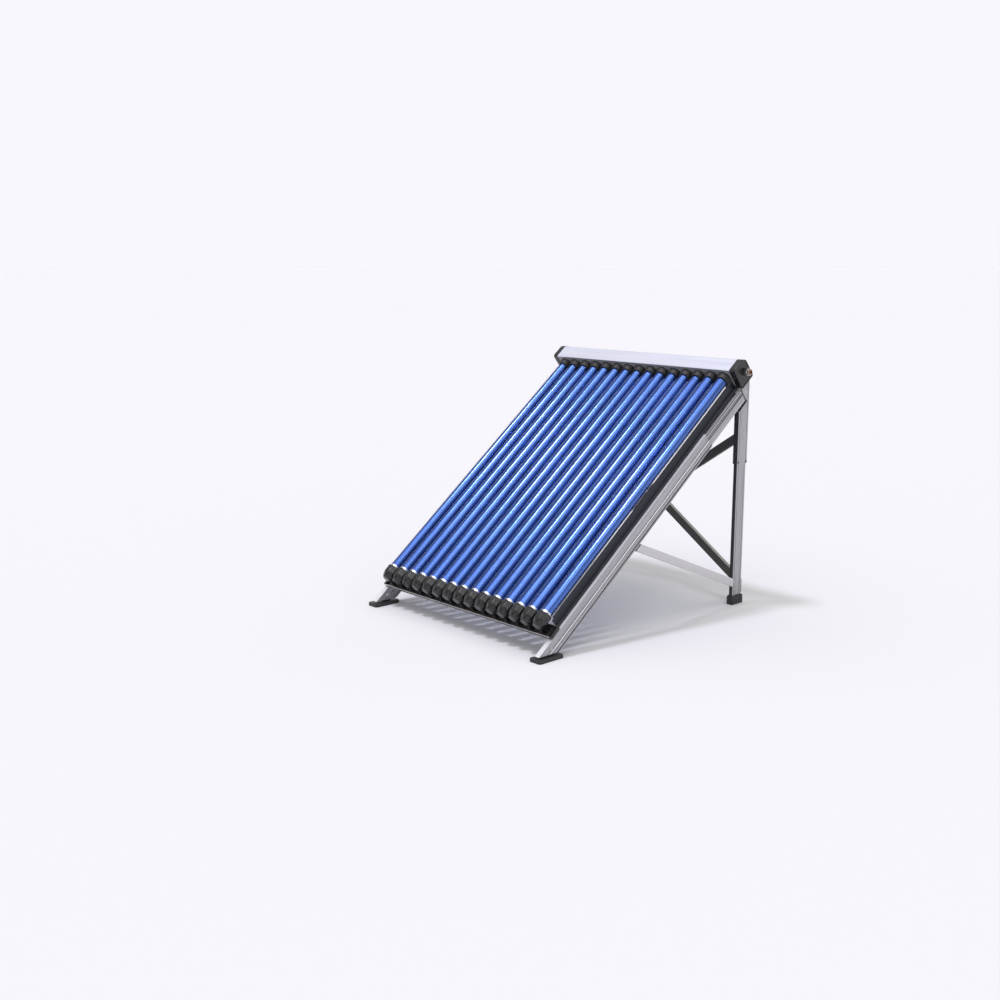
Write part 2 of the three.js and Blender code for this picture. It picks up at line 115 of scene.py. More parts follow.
class NodeBench:
    """A small helper that adds and links shader nodes in one material."""

    def __init__(self, name: str) -> None:
        """Starts an empty material with one Principled shader.

        Args:
            name: The material's name.
        """
        self.material = bpy.data.materials.new(name)
        self.material.use_nodes = True
        self.tree = self.material.node_tree
        self.tree.nodes.clear()
        self.shader = self.tree.nodes.new("ShaderNodeBsdfPrincipled")
        output = self.tree.nodes.new("ShaderNodeOutputMaterial")
        self.tree.links.new(self.shader.outputs["BSDF"], output.inputs["Surface"])

    def link(self, source: bpy.types.NodeSocket, target: bpy.types.NodeSocket) -> None:
        """Joins an output to an input."""
        self.tree.links.new(source, target)

    def place(self, grain: Grain, scale: Sequence[float], tilt: float) -> bpy.types.NodeSocket:
        """Object coordinates turned so that the second axis runs along the grain.

        Args:
            grain: The way that the grain runs.
            scale: How often the pattern repeats across, along and through.
            tilt: The collector's slope in radians.

        Returns:
            The socket that carries the coordinates.
        """
        coordinates = self.tree.nodes.new("ShaderNodeTexCoord")
        turn = self.tree.nodes.new("ShaderNodeMapping")
        turn.vector_type = "TEXTURE"
        turns = {
            Grain.SLOPE: (tilt, 0, 0),
            Grain.UPRIGHT: (math.pi / 2, 0, 0),
            Grain.ACROSS: (0, 0, math.pi / 2),
            Grain.NONE: (0, 0, 0),
        }
        turn.inputs["Rotation"].default_value = turns[grain]
        stretch = self.tree.nodes.new("ShaderNodeMapping")
        stretch.inputs["Scale"].default_value = scale
        self.link(coordinates.outputs["Object"], turn.inputs["Vector"])
        self.link(turn.outputs["Vector"], stretch.inputs["Vector"])
        return stretch.outputs["Vector"]

    def noise(self, place: bpy.types.NodeSocket, scale: float, detail: float) -> bpy.types.NodeSocket:
        """A noise pattern.

        Args:
            place: The coordinates to read.
            scale: The pattern's scale.
            detail: How many finer layers it has.

        Returns:
            The socket that carries its grey value.
        """
        node = self.tree.nodes.new("ShaderNodeTexNoise")
        node.inputs["Scale"].default_value = scale
        node.inputs["Detail"].default_value = detail
        self.link(place, node.inputs["Vector"])
        return node.outputs["Fac"]

    def span(self, source: bpy.types.NodeSocket, low: float, high: float) -> bpy.types.NodeSocket:
        """The middle of a grey pattern stretched to a range.

        Args:
            source: The grey value.
            low: The range's low end.
            high: The range's high end.

        Returns:
            The socket that carries the result.
        """
        node = self.tree.nodes.new("ShaderNodeMapRange")
        node.inputs["From Min"].default_value = 0.3
        node.inputs["From Max"].default_value = 0.7
        node.inputs["To Min"].default_value = low
        node.inputs["To Max"].default_value = high
        self.link(source, node.inputs["Value"])
        return node.outputs["Result"]

    def tint(self, source: bpy.types.NodeSocket, first: Sequence[float], second: Sequence[float]) -> None:
        """Triples the shader between two colours by a grey pattern.

        Args:
            source: The grey value.
            first: The colour at its low end.
            second: The colour at its high end.
        """
        ramp = self.tree.nodes.new("ShaderNodeValToRGB")
        ramp.color_ramp.elements[0].position = 0.32
        ramp.color_ramp.elements[1].position = 0.68
        ramp.color_ramp.elements[0].color = (*first, 1)
        ramp.color_ramp.elements[1].color = (*second, 1)
        self.link(source, ramp.inputs["Fac"])
        self.link(ramp.outputs["Color"], self.shader.inputs["Base Color"])

    def bump(self, source: bpy.types.NodeSocket, strength: float, depth: float) -> None:
        """Raises the surface by a grey pattern.

        Args:
            source: The grey value.
            strength: How strongly it shows, from 0 to 1.
            depth: Its height in metres.
        """
        node = self.tree.nodes.new("ShaderNodeBump")
        node.inputs["Strength"].default_value = strength
        node.inputs["Distance"].default_value = depth
        self.link(source, node.inputs["Height"])
        self.link(node.outputs["Normal"], self.shader.inputs["Normal"])

    def put(self, **values: object) -> None:
        """Sets constants on the shader's own sockets, an underscore standing for a space."""
        for key, value in values.items():
            self.shader.inputs[key.replace("_", " ")].default_value = value


@dataclass(frozen=True)
class Finish:
    """A surface with two nearby colours, a roughness range and a fine relief."""

    name: str
    slot: str
    light: Triple
    dark: Triple
    metallic: float = 0.0
    rough: tuple[float, float] = (0.45, 0.6)
    grain: Grain = Grain.NONE
    stretch: Triple = (1.0, 1.0, 1.0)
    scale: float = 60.0
    relief: float = 0.15
    depth: float = 0.0002
    coat: float = 0.0

    def build(self, tilt: float) -> bpy.types.Material:
        """Makes the material.

        Args:
            tilt: The collector's slope in radians.

        Returns:
            The material.
        """
        bench = NodeBench(self.name)
        place = bench.place(self.grain, self.stretch, tilt)
        broad = bench.noise(place, self.scale * 0.25, 3.0)
        fine = bench.noise(place, self.scale, 6.0)
        bench.tint(broad, self.dark, self.light)
        bench.link(bench.span(fine, *self.rough), bench.shader.inputs["Roughness"])
        bench.bump(fine, self.relief, self.depth)
        bench.put(Metallic=self.metallic, Coat_Weight=self.coat, Coat_Roughness=0.08)
        return bench.material


@dataclass(frozen=True)
class ClearGlass:
    """The outer glass of a tube: nearly invisible face on, with a clear rim and gloss."""

    name: str = "borosilicate_glass"
    slot: str = "tube_glass"
    body: Triple = (0.020, 0.040, 0.15)
    alpha: float = 0.02

    def build(self, tilt: float) -> bpy.types.Material:
        """Makes the material.

        Args:
            tilt: The collector's slope in radians.

        Returns:
            The material.
        """
        bench = NodeBench(self.name)
        place = bench.place(Grain.SLOPE, (1.0, 0.12, 1.0), tilt)
        bench.tint(bench.noise(place, 14.0, 2.0), self.body, (0.028, 0.052, 0.19))
        rim = bench.tree.nodes.new("ShaderNodeLayerWeight")
        rim.inputs["Blend"].default_value = 0.14
        veil = bench.tree.nodes.new("ShaderNodeMapRange")
        veil.inputs["To Min"].default_value = self.alpha
        veil.inputs["To Max"].default_value = 0.62
        bench.link(rim.outputs["Facing"], veil.inputs["Value"])
        bench.link(veil.outputs["Result"], bench.shader.inputs["Alpha"])
        bench.put(Roughness=0.16, IOR=1.47, Coat_Weight=0.35, Coat_Roughness=0.08)
        return bench.material


@dataclass(frozen=True)
class AbsorberCoat:
    """The sputtered blue coating of the inner tube under its glass."""

    name: str = "blue_absorber_coat"
    slot: str = "tube_glass"
    deep: Triple = (0.055, 0.145, 0.50)
    bright: Triple = (0.070, 0.175, 0.60)

    def build(self, tilt: float) -> bpy.types.Material:
        """Makes the material.

        Args:
            tilt: The collector's slope in radians.

        Returns:
            The material.
        """
        bench = NodeBench(self.name)
        place = bench.place(Grain.SLOPE, (1.0, 0.35, 1.0), tilt)
        bench.tint(bench.noise(place, 7.0, 3.0), self.deep, self.bright)
        rings = bench.place(Grain.SLOPE, (0.2, 1.0, 0.2), tilt)
        fine = bench.noise(rings, 24.0, 1.0)
        bench.link(bench.span(fine, 0.20, 0.26), bench.shader.inputs["Roughness"])
        bench.put(Metallic=0.88, Specular_Tint=(0.10, 0.14, 0.32, 1), Coat_Weight=0.8, Coat_Roughness=0.14)
        return bench.material


class Finishes:
    """Every finish of the machine, built once and handed out by name."""

    def __init__(self, tilt: float) -> None:
        """Builds the materials.

        Args:
            tilt: The collector's slope in radians.
        """
        long_grain = (1.0, 0.02, 1.0)
        recipes: list[Finish | ClearGlass | AbsorberCoat] = [
            ClearGlass(),
            AbsorberCoat(),
            Finish("getter_mirror", "tube_glass", (0.93, 0.94, 0.97), (0.8, 0.82, 0.86), 0.9,
                   (0.12, 0.3), scale=90),
            Finish("black_moulding", "black_moulding", (0.012, 0.012, 0.013), (0.007, 0.007, 0.008), 0.0,
                   (0.16, 0.26), scale=520, relief=0.05, depth=0.0002, coat=0.1),
            # Painted highlight for the cups' bevelled facet edges.
            Finish("moulding_edge_highlight", "black_moulding", (0.055, 0.055, 0.057), (0.04, 0.04, 0.042), 0.0,
                   (0.2, 0.3), scale=520),
            # Painted highlight for the track's lip edges.
            Finish("lip_highlight", "dark_track", (0.62, 0.61, 0.60), (0.46, 0.45, 0.44), 0.7, (0.3, 0.42),
                   Grain.ACROSS, long_grain, 260, 0.1),
            # Painted highlight for the lower rails' front face and ridge top.
            Finish("rail_edge_highlight", "anodised_aluminium", (0.90, 0.90, 0.93), (0.80, 0.80, 0.83), 0.4,
                   (0.24, 0.34), Grain.SLOPE, long_grain, 320, 0.08),
            # Painted highlight for the braces' top edges, where the light catches them.
            Finish("lit_edge_highlight", "dark_brace", (0.46, 0.45, 0.41), (0.34, 0.33, 0.30), 0.4, (0.36, 0.5),
                   scale=600),
            Finish("silver_casing", "silver_casing", (0.76, 0.78, 0.88), (0.68, 0.70, 0.79), 0.55,
                   (0.3, 0.42), Grain.ACROSS, long_grain, 160, 0.08),
            Finish("grey_plate", "grey_plate", (0.27, 0.27, 0.30), (0.20, 0.20, 0.225), 0.2, (0.4, 0.55),
                   Grain.ACROSS, long_grain, 200, 0.1),
            Finish("collar_rubber", "collar_rubber", (0.02, 0.02, 0.019), (0.010, 0.010, 0.010), 0.0,
                   (0.38, 0.6), scale=380, relief=0.2, depth=0.0003),
            Finish("mineral_wool", "mineral_wool", (0.50, 0.44, 0.30), (0.30, 0.26, 0.18), 0.0,
                   (0.9, 1.0), scale=300, relief=0.8, depth=0.001),
            Finish("copper", "copper", (0.62, 0.30, 0.16), (0.42, 0.19, 0.10), 1.0, (0.25, 0.42),
                   scale=60),
            Finish("dark_track", "dark_track", (0.085, 0.085, 0.088), (0.045, 0.045, 0.048), 0.35,
                   (0.34, 0.5), Grain.ACROSS, long_grain, 260, 0.12),
            Finish("dark_brace", "dark_brace", (0.090, 0.086, 0.079), (0.066, 0.063, 0.058), 0.35,
                   (0.4, 0.55), scale=900, relief=0.1),
            Finish("nickel_fitting", "nickel_fitting", (0.66, 0.65, 0.64), (0.44, 0.43, 0.42), 1.0,
                   (0.22, 0.4), scale=150, relief=0.12),
            Finish("charcoal_trim", "charcoal_trim", (0.022, 0.025, 0.036), (0.012, 0.014, 0.022), 0.4,
                   (0.3, 0.42), Grain.SLOPE, long_grain, 260, 0.12),
            Finish("rail_aluminium", "anodised_aluminium", (0.45, 0.44, 0.465), (0.35, 0.345, 0.37),
                   0.85, (0.24, 0.36), Grain.SLOPE, long_grain, 320, 0.1),
            Finish("leg_aluminium", "anodised_aluminium", (0.46, 0.45, 0.475), (0.37, 0.365, 0.385),
                   0.85, (0.24, 0.36), Grain.UPRIGHT, long_grain, 320, 0.1),
            Finish("strut_aluminium", "anodised_aluminium", (0.66, 0.65, 0.66), (0.58, 0.57, 0.58), 0.6,
                   (0.42, 0.55), scale=600, relief=0.06),
            # Painted shade: the rails' and legs' groove floors and the legs' front faces.
            Finish("groove_shade", "anodised_aluminium", (0.060, 0.060, 0.062), (0.030, 0.030, 0.032),
                   0.5, (0.45, 0.6), Grain.SLOPE, long_grain, 260, 0.12),
            Finish("black_steel", "black_steel", (0.040, 0.040, 0.042), (0.020, 0.020, 0.022), 0.2,
                   (0.36, 0.52), scale=420, relief=0.25, depth=0.0003),
            Finish("foot_rubber", "foot_rubber", (0.030, 0.030, 0.031), (0.016, 0.016, 0.017), 0.0,
                   (0.5, 0.7), scale=420, relief=0.3, depth=0.0003),
        ]
        self.made = {recipe.name: recipe.build(tilt) for recipe in recipes}
        self.slots = {recipe.name: recipe.slot for recipe in recipes}

    def of(self, name: str) -> bpy.types.Material:
        """The material of that name."""
        return self.made[name]


# ---------------------------------------------------------------- mesh tools


class Run(Enum):
    """The axis that a prism is drawn along."""

    ACROSS = "x"
    SLOPE = "s"
    UPRIGHT = "z"

    def spot(self, a: float, b: float, t: float) -> tuple[float, float, float]:
        """A point from the outline's two values and the length."""
        return {Run.ACROSS: (t, a, b), Run.SLOPE: (a, t, b), Run.UPRIGHT: (a, b, t)}[self]


def mm(*pairs: Pair) -> list[Pair]:
    """An outline given in millimetres."""
    return [(a * MM, b * MM) for a, b in pairs]


def new_object(name: str, mesh: bpy.types.Mesh) -> bpy.types.Object:
    """Links a mesh into the scene as an object at the origin.

    Args:
        name: The object's name.
        mesh: Its mesh.

    Returns:
        The object.
    """
    piece = bpy.data.objects.new(name, mesh)
    bpy.context.scene.collection.objects.link(piece)
    return piece


def settle(name: str, shape: Shape, matrix: Matrix, sharp: float = 32.0) -> bpy.types.Object:
    """Turns a bmesh into a finished object: placed, facing outwards, smooth up to a sharp angle.

    Args:
        name: The object's name.
        shape: The mesh in the making, which is freed.
        matrix: Where it goes.
        sharp: The angle in degrees above which an edge stays sharp.

    Returns:
        The object.
    """
    bmesh.ops.remove_doubles(shape, verts=shape.verts, dist=1e-6)
    bmesh.ops.transform(shape, matrix=matrix, verts=shape.verts)
    bmesh.ops.recalc_face_normals(shape, faces=shape.faces)
    mesh = bpy.data.meshes.new(name)
    slots = 1 + max(face.material_index for face in shape.faces)
    shape.to_mesh(mesh)
    shape.free()
    for _ in range(slots):
        mesh.materials.append(None)
    mesh.shade_smooth()
    mesh.set_sharp_from_angle(angle=math.radians(sharp))
    return new_object(name, mesh)


def lathe(profile: Loop, segments: int, side: Side = Side.RIGHT) -> Shape:
    """Spins an outline about the local Y axis.

    Args:
        profile: (radius, height) pairs that start and end on the axis, or close on themselves.
        segments: How many sides.
        side: The left side turns the heights round.

    Returns:
        The shape.
    """
    shape = bmesh.new()
    turns = [2 * math.pi * k / segments for k in range(segments)]
    rings = []
    for radius, height in profile:
        angles = turns if radius > 1e-9 else turns[:1]
        rings.append([
            shape.verts.new((radius * math.sin(a), side.value * height, radius * math.cos(a))) for a in angles
        ])
    for low, high in zip(rings, rings[1:]):
        for k in range(segments):
            corners = [low[k % len(low)], low[(k + 1) % len(low)]]
            corners += [high[(k + 1) % len(high)], high[k % len(high)]]
            unique = list(dict.fromkeys(corners))
            if len(unique) > 2:
                shape.faces.new(unique)
    return shape


def axle(x: float, s: float, n: float) -> Matrix:
    """Lays a turned piece across the machine at a spot."""
    return Matrix.Translation((x, s, n)) @ Matrix.Rotation(-math.pi / 2, 4, "Z")


def prism(
    loop: Loop,
    start: End,
    end: End,
    run: Run,
    side: Side = Side.RIGHT,
    shaded: Indices = (),
    bright: Indices = (),
) -> Shape:
    """Draws an outline along an axis.

    Args:
        loop: The outline, in the other two axes.
        start: Where it starts, the same for all corners or worked out for each.
        end: Where it ends.
        run: The axis.
        side: The left side mirrors it in x.
        shaded: The sides that take the second material.
        bright: The sides that take the third material.

    Returns:
        The shape.
    """
    shape = bmesh.new()
    marks = {**dict.fromkeys(shaded, 1), **dict.fromkeys(bright, 2)}
    ends = []
    for limit in (start, end):
        spots = [Vector(run.spot(a, b, limit(a, b) if callable(limit) else limit)) for a, b in loop]
        ends.append([shape.verts.new((side.value * spot.x, spot.y, spot.z)) for spot in spots])
    first, last = ends
    for k in range(len(loop)):
        after = (k + 1) % len(loop)
        face = shape.faces.new((first[k], first[after], last[after], last[k]))
        face.material_index = marks.get(k, 0)
    for a, b, c in tessellate_polygon([[Vector((u, v, 0)) for u, v in loop]]):
        shape.faces.new((first[a], first[b], first[c]))
        shape.faces.new((last[c], last[b], last[a]))
    return shape


def loft(outlines: Sequence[Sequence[Sequence[float]]], ring: bool = False) -> Shape:
    """Joins outlines of equally many points.

    Args:
        outlines: The outlines in order, as points in space.
        ring: True to join the last to the first, instead of closing both ends.

    Returns:
        The shape.
    """
    shape = bmesh.new()
    rows = [[shape.verts.new(point) for point in outline] for outline in outlines]
    count = len(rows[0])
    for low, high in zip(rows, [*rows[1:], rows[0]] if ring else rows[1:]):
        for k in range(count):
            after = (k + 1) % count
            shape.faces.new((low[k], low[after], high[after], high[k]))
    if not ring:
        shape.faces.new(rows[0])
        shape.faces.new(rows[-1])
    return shape


def rounded(loop: Loop, radii: Sequence[float], steps: int = 4) -> list[Pair]:
    """Rounds the corners of an outline.

    Args:
        loop: The outline.
        radii: One radius for each corner.
        steps: How many pieces each arc has.

    Returns:
        The rounded outline.
    """
    result: list[Pair] = []
    for k, radius in enumerate(radii):
        here = Vector(loop[k])
        before = (Vector(loop[k - 1]) - here).normalized()
        after = (Vector(loop[(k + 1) % len(loop)]) - here).normalized()
        half = before.angle(after) / 2
        reach = radius / math.tan(half)
        centre = here + (before + after).normalized() * (radius / math.sin(half))
        first = here + before * reach - centre
        last = here + after * reach - centre
        for step in range(steps + 1):
            spoke = first.lerp(last, step / steps)
            result.append(tuple(centre + spoke.normalized() * radius))
    return result


def subdivide(loop: Loop, longest: float) -> list[Pair]:
    """Adds points to an outline so that no side is longer than a limit.

    Args:
        loop: The outline.
        longest: The limit.

    Returns:
        The finer outline.
    """
    result: list[Pair] = []
    for here, after in zip(loop, [*loop[1:], loop[0]]):
        parts = max(1, math.ceil(math.dist(here, after) / longest))
        result += [tuple(Vector(here).lerp(Vector(after), k / parts)) for k in range(parts)]
    return result


def groove_floors(loop: Loop, face: float, back: float, depth: Pair) -> list[int]:
    """Finds the floors of the grooves in a ribbed outline.

    Args:
        loop: The outline.
        face: Where its outer side lies in x.
        back: Where its inner side lies in x.
        depth: The least and greatest depth of a floor under its side.

    Returns:
        The sides of the outline that are floors.
    """
    floors = []
    for k, (x, _) in enumerate(loop):
        level = abs(loop[(k + 1) % len(loop)][0] - x) < 1e-6
        if level and (depth[0] < face - x < depth[1] or depth[0] < x - back < depth[1]):
            floors.append(k)
    return floors


def add_box(shape: Shape, low: Sequence[float], high: Sequence[float], round_by: float = 0.0) -> None:
    """Adds a box with softened edges.

    Args:
        shape: The mesh that it joins.
        low: Its lowest corner.
        high: Its highest corner.
        round_by: The radius of its edges.
    """
    made = bmesh.ops.create_cube(shape, size=1.0)
    bmesh.ops.scale(shape, vec=Vector(high) - Vector(low), verts=made["verts"])
    bmesh.ops.translate(shape, vec=(Vector(low) + Vector(high)) / 2, verts=made["verts"])
    if round_by > 0:
        edges = {edge for vert in made["verts"] for edge in vert.link_edges}
        bmesh.ops.bevel(shape, geom=list(edges), offset=round_by, segments=3, profile=0.5, affect="EDGES")


def box(low: Sequence[float], high: Sequence[float], side: Side = Side.RIGHT, round_by: float = 0.0) -> Shape:
    """One box on its own.

    Args:
        low: Its lowest corner on the right side.
        high: Its highest corner on the right side.
        side: The left side mirrors it in x.
        round_by: The radius of its edges.

    Returns:
        The shape.
    """
    shape = bmesh.new()
    near, far = sorted((side.value * low[0], side.value * high[0]))
    add_box(shape, (near, low[1], low[2]), (far, high[1], high[2]), round_by)
    return shape


def plain_mesh(piece: bpy.types.Object) -> bpy.types.Object:
    """Applies an object's modifiers and clears them.

    Args:
        piece: The object.

    Returns:
        The same object with a plain mesh.
    """
    bpy.context.view_layer.update()
    graph = bpy.context.evaluated_depsgraph_get()
    mesh = bpy.data.meshes.new_from_object(piece.evaluated_get(graph))
    piece.modifiers.clear()
    piece.data = mesh
    return piece


def carve(piece: bpy.types.Object, cutter: bpy.types.Object) -> None:
    """Cuts one object out of another and removes the cutter.

    Args:
        piece: The object that is cut.
        cutter: The object that is taken out of it.
    """
    cut = piece.modifiers.new("cut", "BOOLEAN")
    cut.operation = "DIFFERENCE"
    cut.solver = "EXACT"
    cut.object = cutter
    plain_mesh(piece)
    bpy.data.objects.remove(cutter)
    piece.data.shade_smooth()
    piece.data.set_sharp_from_angle(angle=math.radians(30))


# ---------------------------------------------------------------- geometry nodes


class RepeatTree:
    """A Geometry Nodes tree that repeats a piece along a line."""

    INPUTS = {
        "Count": "NodeSocketInt",
        "Start": "NodeSocketVector",
        "Step": "NodeSocketVector",
        "Finish": "NodeSocketMaterial",
    }

    def __init__(self, name: str) -> None:
        """Builds the tree.

        Args:
            name: The tree's name.
        """
        self.tree = bpy.data.node_groups.new(name, "GeometryNodeTree")
        face = self.tree.interface
        face.new_socket("Geometry", in_out="INPUT", socket_type="NodeSocketGeometry")
        self.keys = {
            label: face.new_socket(label, in_out="INPUT", socket_type=kind).identifier
            for label, kind in self.INPUTS.items()
        }
        face.new_socket("Geometry", in_out="OUTPUT", socket_type="NodeSocketGeometry")
        given = self.tree.nodes.new("NodeGroupInput")
        line = self.tree.nodes.new("GeometryNodeMeshLine")
        line.mode = "OFFSET"
        copies = self.tree.nodes.new("GeometryNodeInstanceOnPoints")
        real = self.tree.nodes.new("GeometryNodeRealizeInstances")
        dress = self.tree.nodes.new("GeometryNodeSetMaterial")
        result = self.tree.nodes.new("NodeGroupOutput")
        for source, output, target, entry in (
            (given, "Count", line, "Count"),
            (given, "Start", line, "Start Location"),
            (given, "Step", line, "Offset"),
            (line, "Mesh", copies, "Points"),
            (given, "Geometry", copies, "Instance"),
            (copies, "Instances", real, "Geometry"),
            (real, "Geometry", dress, "Geometry"),
            (given, "Finish", dress, "Material"),
            (dress, "Geometry", result, "Geometry"),
        ):
            self.tree.links.new(source.outputs[output], target.inputs[entry])

    def apply(
        self,
        piece: bpy.types.Object,
        count: int,
        start: Sequence[float],
        step: Sequence[float],
        finish: bpy.types.Material,
    ) -> bpy.types.Object:
        """Repeats a piece and turns the result into a plain mesh.

        Args:
            piece: The piece to repeat, drawn about the origin.
            count: How many copies.
            start: Where the first one goes.
            step: From one to the next.
            finish: The material of them all.

        Returns:
            The same object with the copies in its mesh.
        """
        row = piece.modifiers.new("row", "NODES")
        row.node_group = self.tree
        row[self.keys["Count"]] = count
        row[self.keys["Start"]] = tuple(start)
        row[self.keys["Step"]] = tuple(step)
        row[self.keys["Finish"]] = finish
        return plain_mesh(piece)


# ---------------------------------------------------------------- the workshop


@dataclass
class Workshop:
    """What every sub-assembly works with: the frames, the finishes and the tubes' spacing."""

    slope: Slope
    finishes: Finishes
    row: RepeatTree
    tubes: int = 15
    pitch: float = 75 * MM
    made: int = 0

    def hand_over(
        self, piece: bpy.types.Object, body: str, finish: str, nodes: Sequence[str] = (), *others: str
    ) -> None:
        """Dresses a piece, sets it on its body and hides the CAD nodes that it stands for.

        Args:
            piece: The finished object.
            body: The CAD body that carries it.
            finish: Its main finish.
            nodes: The CAD nodes that it stands for.
            *others: Finishes for the faces that carry a higher material index.
        """
        faces = piece.data.polygons
        shades = [face.material_index for face in faces]
        piece.data.materials.clear()
        for each in (finish, *others):
            piece.data.materials.append(self.finishes.of(each))
        faces.foreach_set("material_index", shades if others else [0] * len(shades))
        if nodes:
            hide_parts(*nodes)
        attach(piece, body)
        self.made += 1
        LOG.info("%s: %d faces on %s", piece.name, len(faces), body)

    def lay(
        self,
        name: str,
        shape: Shape,
        place: Matrix,
        body: str,
        finish: str,
        *others: str,
        nodes: Sequence[str] = (),
        sharp: float = 32.0,
        cuts: Sequence[tuple[Shape, Matrix]] = (),
    ) -> None:
        """Finishes a shape, cuts it where it needs it, and hands it over.

        Args:
            name: The piece's name.
            shape: Its shape.
            place: Where it goes.
            body: The CAD body that carries it.
            finish: Its main finish.
            *others: Finishes for the faces that carry a higher material index.
            nodes: The CAD nodes that it stands for.
            sharp: The angle in degrees above which an edge stays sharp.
            cuts: Shapes that are taken out of it, each with its place.
        """
        piece = settle(name, shape, place, sharp)
        for cutter, spot in cuts:
            carve(piece, settle("cutter", cutter, spot))
        self.hand_over(piece, body, finish, nodes, *others)

    def lay_row(
        self,
        name: str,
        shape: Shape,
        finish: str,
        *others: str,
        nodes: Sequence[str] = (),
        facets: float | None = None,
    ) -> None:
        """Repeats a template at each tube, lays the row on the slope and hands it over.

        Args:
            name: The piece's name.
            shape: The template, drawn at x = 0 in slope coordinates.
            finish: Its main finish.
            *others: Finishes for the faces that carry a higher material index.
            nodes: The CAD nodes that it stands for.
            facets: The angle in degrees above which an edge stays sharp, where it isn't the usual one.
        """
        piece = settle(name, shape, Matrix.Identity(4))
        shades = [face.material_index for face in piece.data.polygons]
        start = (-(self.tubes - 1) / 2 * self.pitch, 0, 0)
        self.row.apply(piece, self.tubes, start, (self.pitch, 0, 0), self.finishes.of(finish))
        piece.data.polygons.foreach_set("material_index", shades * self.tubes)
        piece.data.transform(self.slope.matrix())
        if facets is not None:
            piece.data.set_sharp_from_angle(angle=math.radians(facets))
        self.hand_over(piece, "collector", finish, nodes, *others)

    def numbered(self, stem: str) -> list[str]:
        """The CAD nodes of one row, numbered from 01."""
        return [f"{stem}_{k + 1:02d}" for k in range(self.tubes)]

    def redress(self, node: str, finish: str) -> None:
        """Gives a CAD node whose shape is right its finish.

        Args:
            node: The node.
            finish: Its finish.
        """
        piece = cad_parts[node]
        piece.data.materials.clear()
        piece.data.materials.append(self.finishes.of(finish))
        LOG.info("%s keeps its solid", node)


# ---------------------------------------------------------------- glass tubes


@dataclass
class TubeBank:
    """The glass tubes, their coated inner tubes and the mirror bands at their closed ends."""

    shop: Workshop
    low: float = 238 * MM
    top: float = 1824 * MM
    glass_r: float = 29 * MM
    wall: float = 1.8 * MM
    rim: float = 0.6 * MM
    absorber_r: float = 25.8 * MM
    absorber_wall: float = 1.6 * MM
    absorber_gap: float = 9 * MM
    absorber_drop: float = 4 * MM
    band: Pair = (283 * MM, 300 * MM)
    band_gap: float = 0.25 * MM
    sides: int = 40
    dome_steps: int = 8

    def domed(self, radius: float, tip: float) -> list[Pair]:
        """Half outline of a round end.

        Args:
            radius: The tube's radius.
            tip: Where the end's tip lies along the slope.

        Returns:
            Outline points from the tip to the shoulder.
        """
        angles = [math.pi / 2 * k / self.dome_steps for k in range(self.dome_steps + 1)]
        return [(radius * math.sin(a), tip + radius * (1 - math.cos(a))) for a in angles]

    def glass(self) -> None:
        """Builds the outer glass tubes with rounded rims."""
        inner = self.glass_r - self.wall
        outside = self.domed(self.glass_r, self.low)
        inside = self.domed(inner, self.low + self.wall)
        rim = [
            (self.glass_r, self.top - self.rim),
            (self.glass_r - self.rim, self.top),
            (inner + self.rim, self.top),
            (inner, self.top - self.rim),
        ]
        shape = lathe([*outside, *rim, *reversed(inside)], self.sides)
        nodes = self.shop.numbered("evacuated_tube")
        self.shop.lay_row("glass_tubes", shape, "borosilicate_glass", nodes=nodes)

    def absorbers(self) -> None:
        """Builds the blue inner tubes, which end in a dome above the mirror band."""
        tip, end = self.low + self.absorber_gap, self.top - self.absorber_drop
        bore = self.absorber_r - self.absorber_wall
        outside = self.domed(self.absorber_r, tip)
        inside = self.domed(bore, tip + self.absorber_wall)
        shape = lathe([*outside, (self.absorber_r, end), (bore, end), *reversed(inside)], self.sides)
        self.shop.lay_row("absorber_tubes", shape, "blue_absorber_coat")

    def getters(self) -> None:
        """Builds the mirror bands between glass and coating."""
        inside = self.absorber_r + self.band_gap
        outside = self.glass_r - self.wall - self.band_gap
        low, high = self.band
        loop = [(inside, low), (outside, low), (outside, high), (inside, high), (inside, low)]
        self.shop.lay_row("getter_bands", lathe(loop, self.sides), "getter_mirror")

    def build(self) -> None:
        """Builds the whole bank."""
        self.glass()
        self.absorbers()
        self.getters()


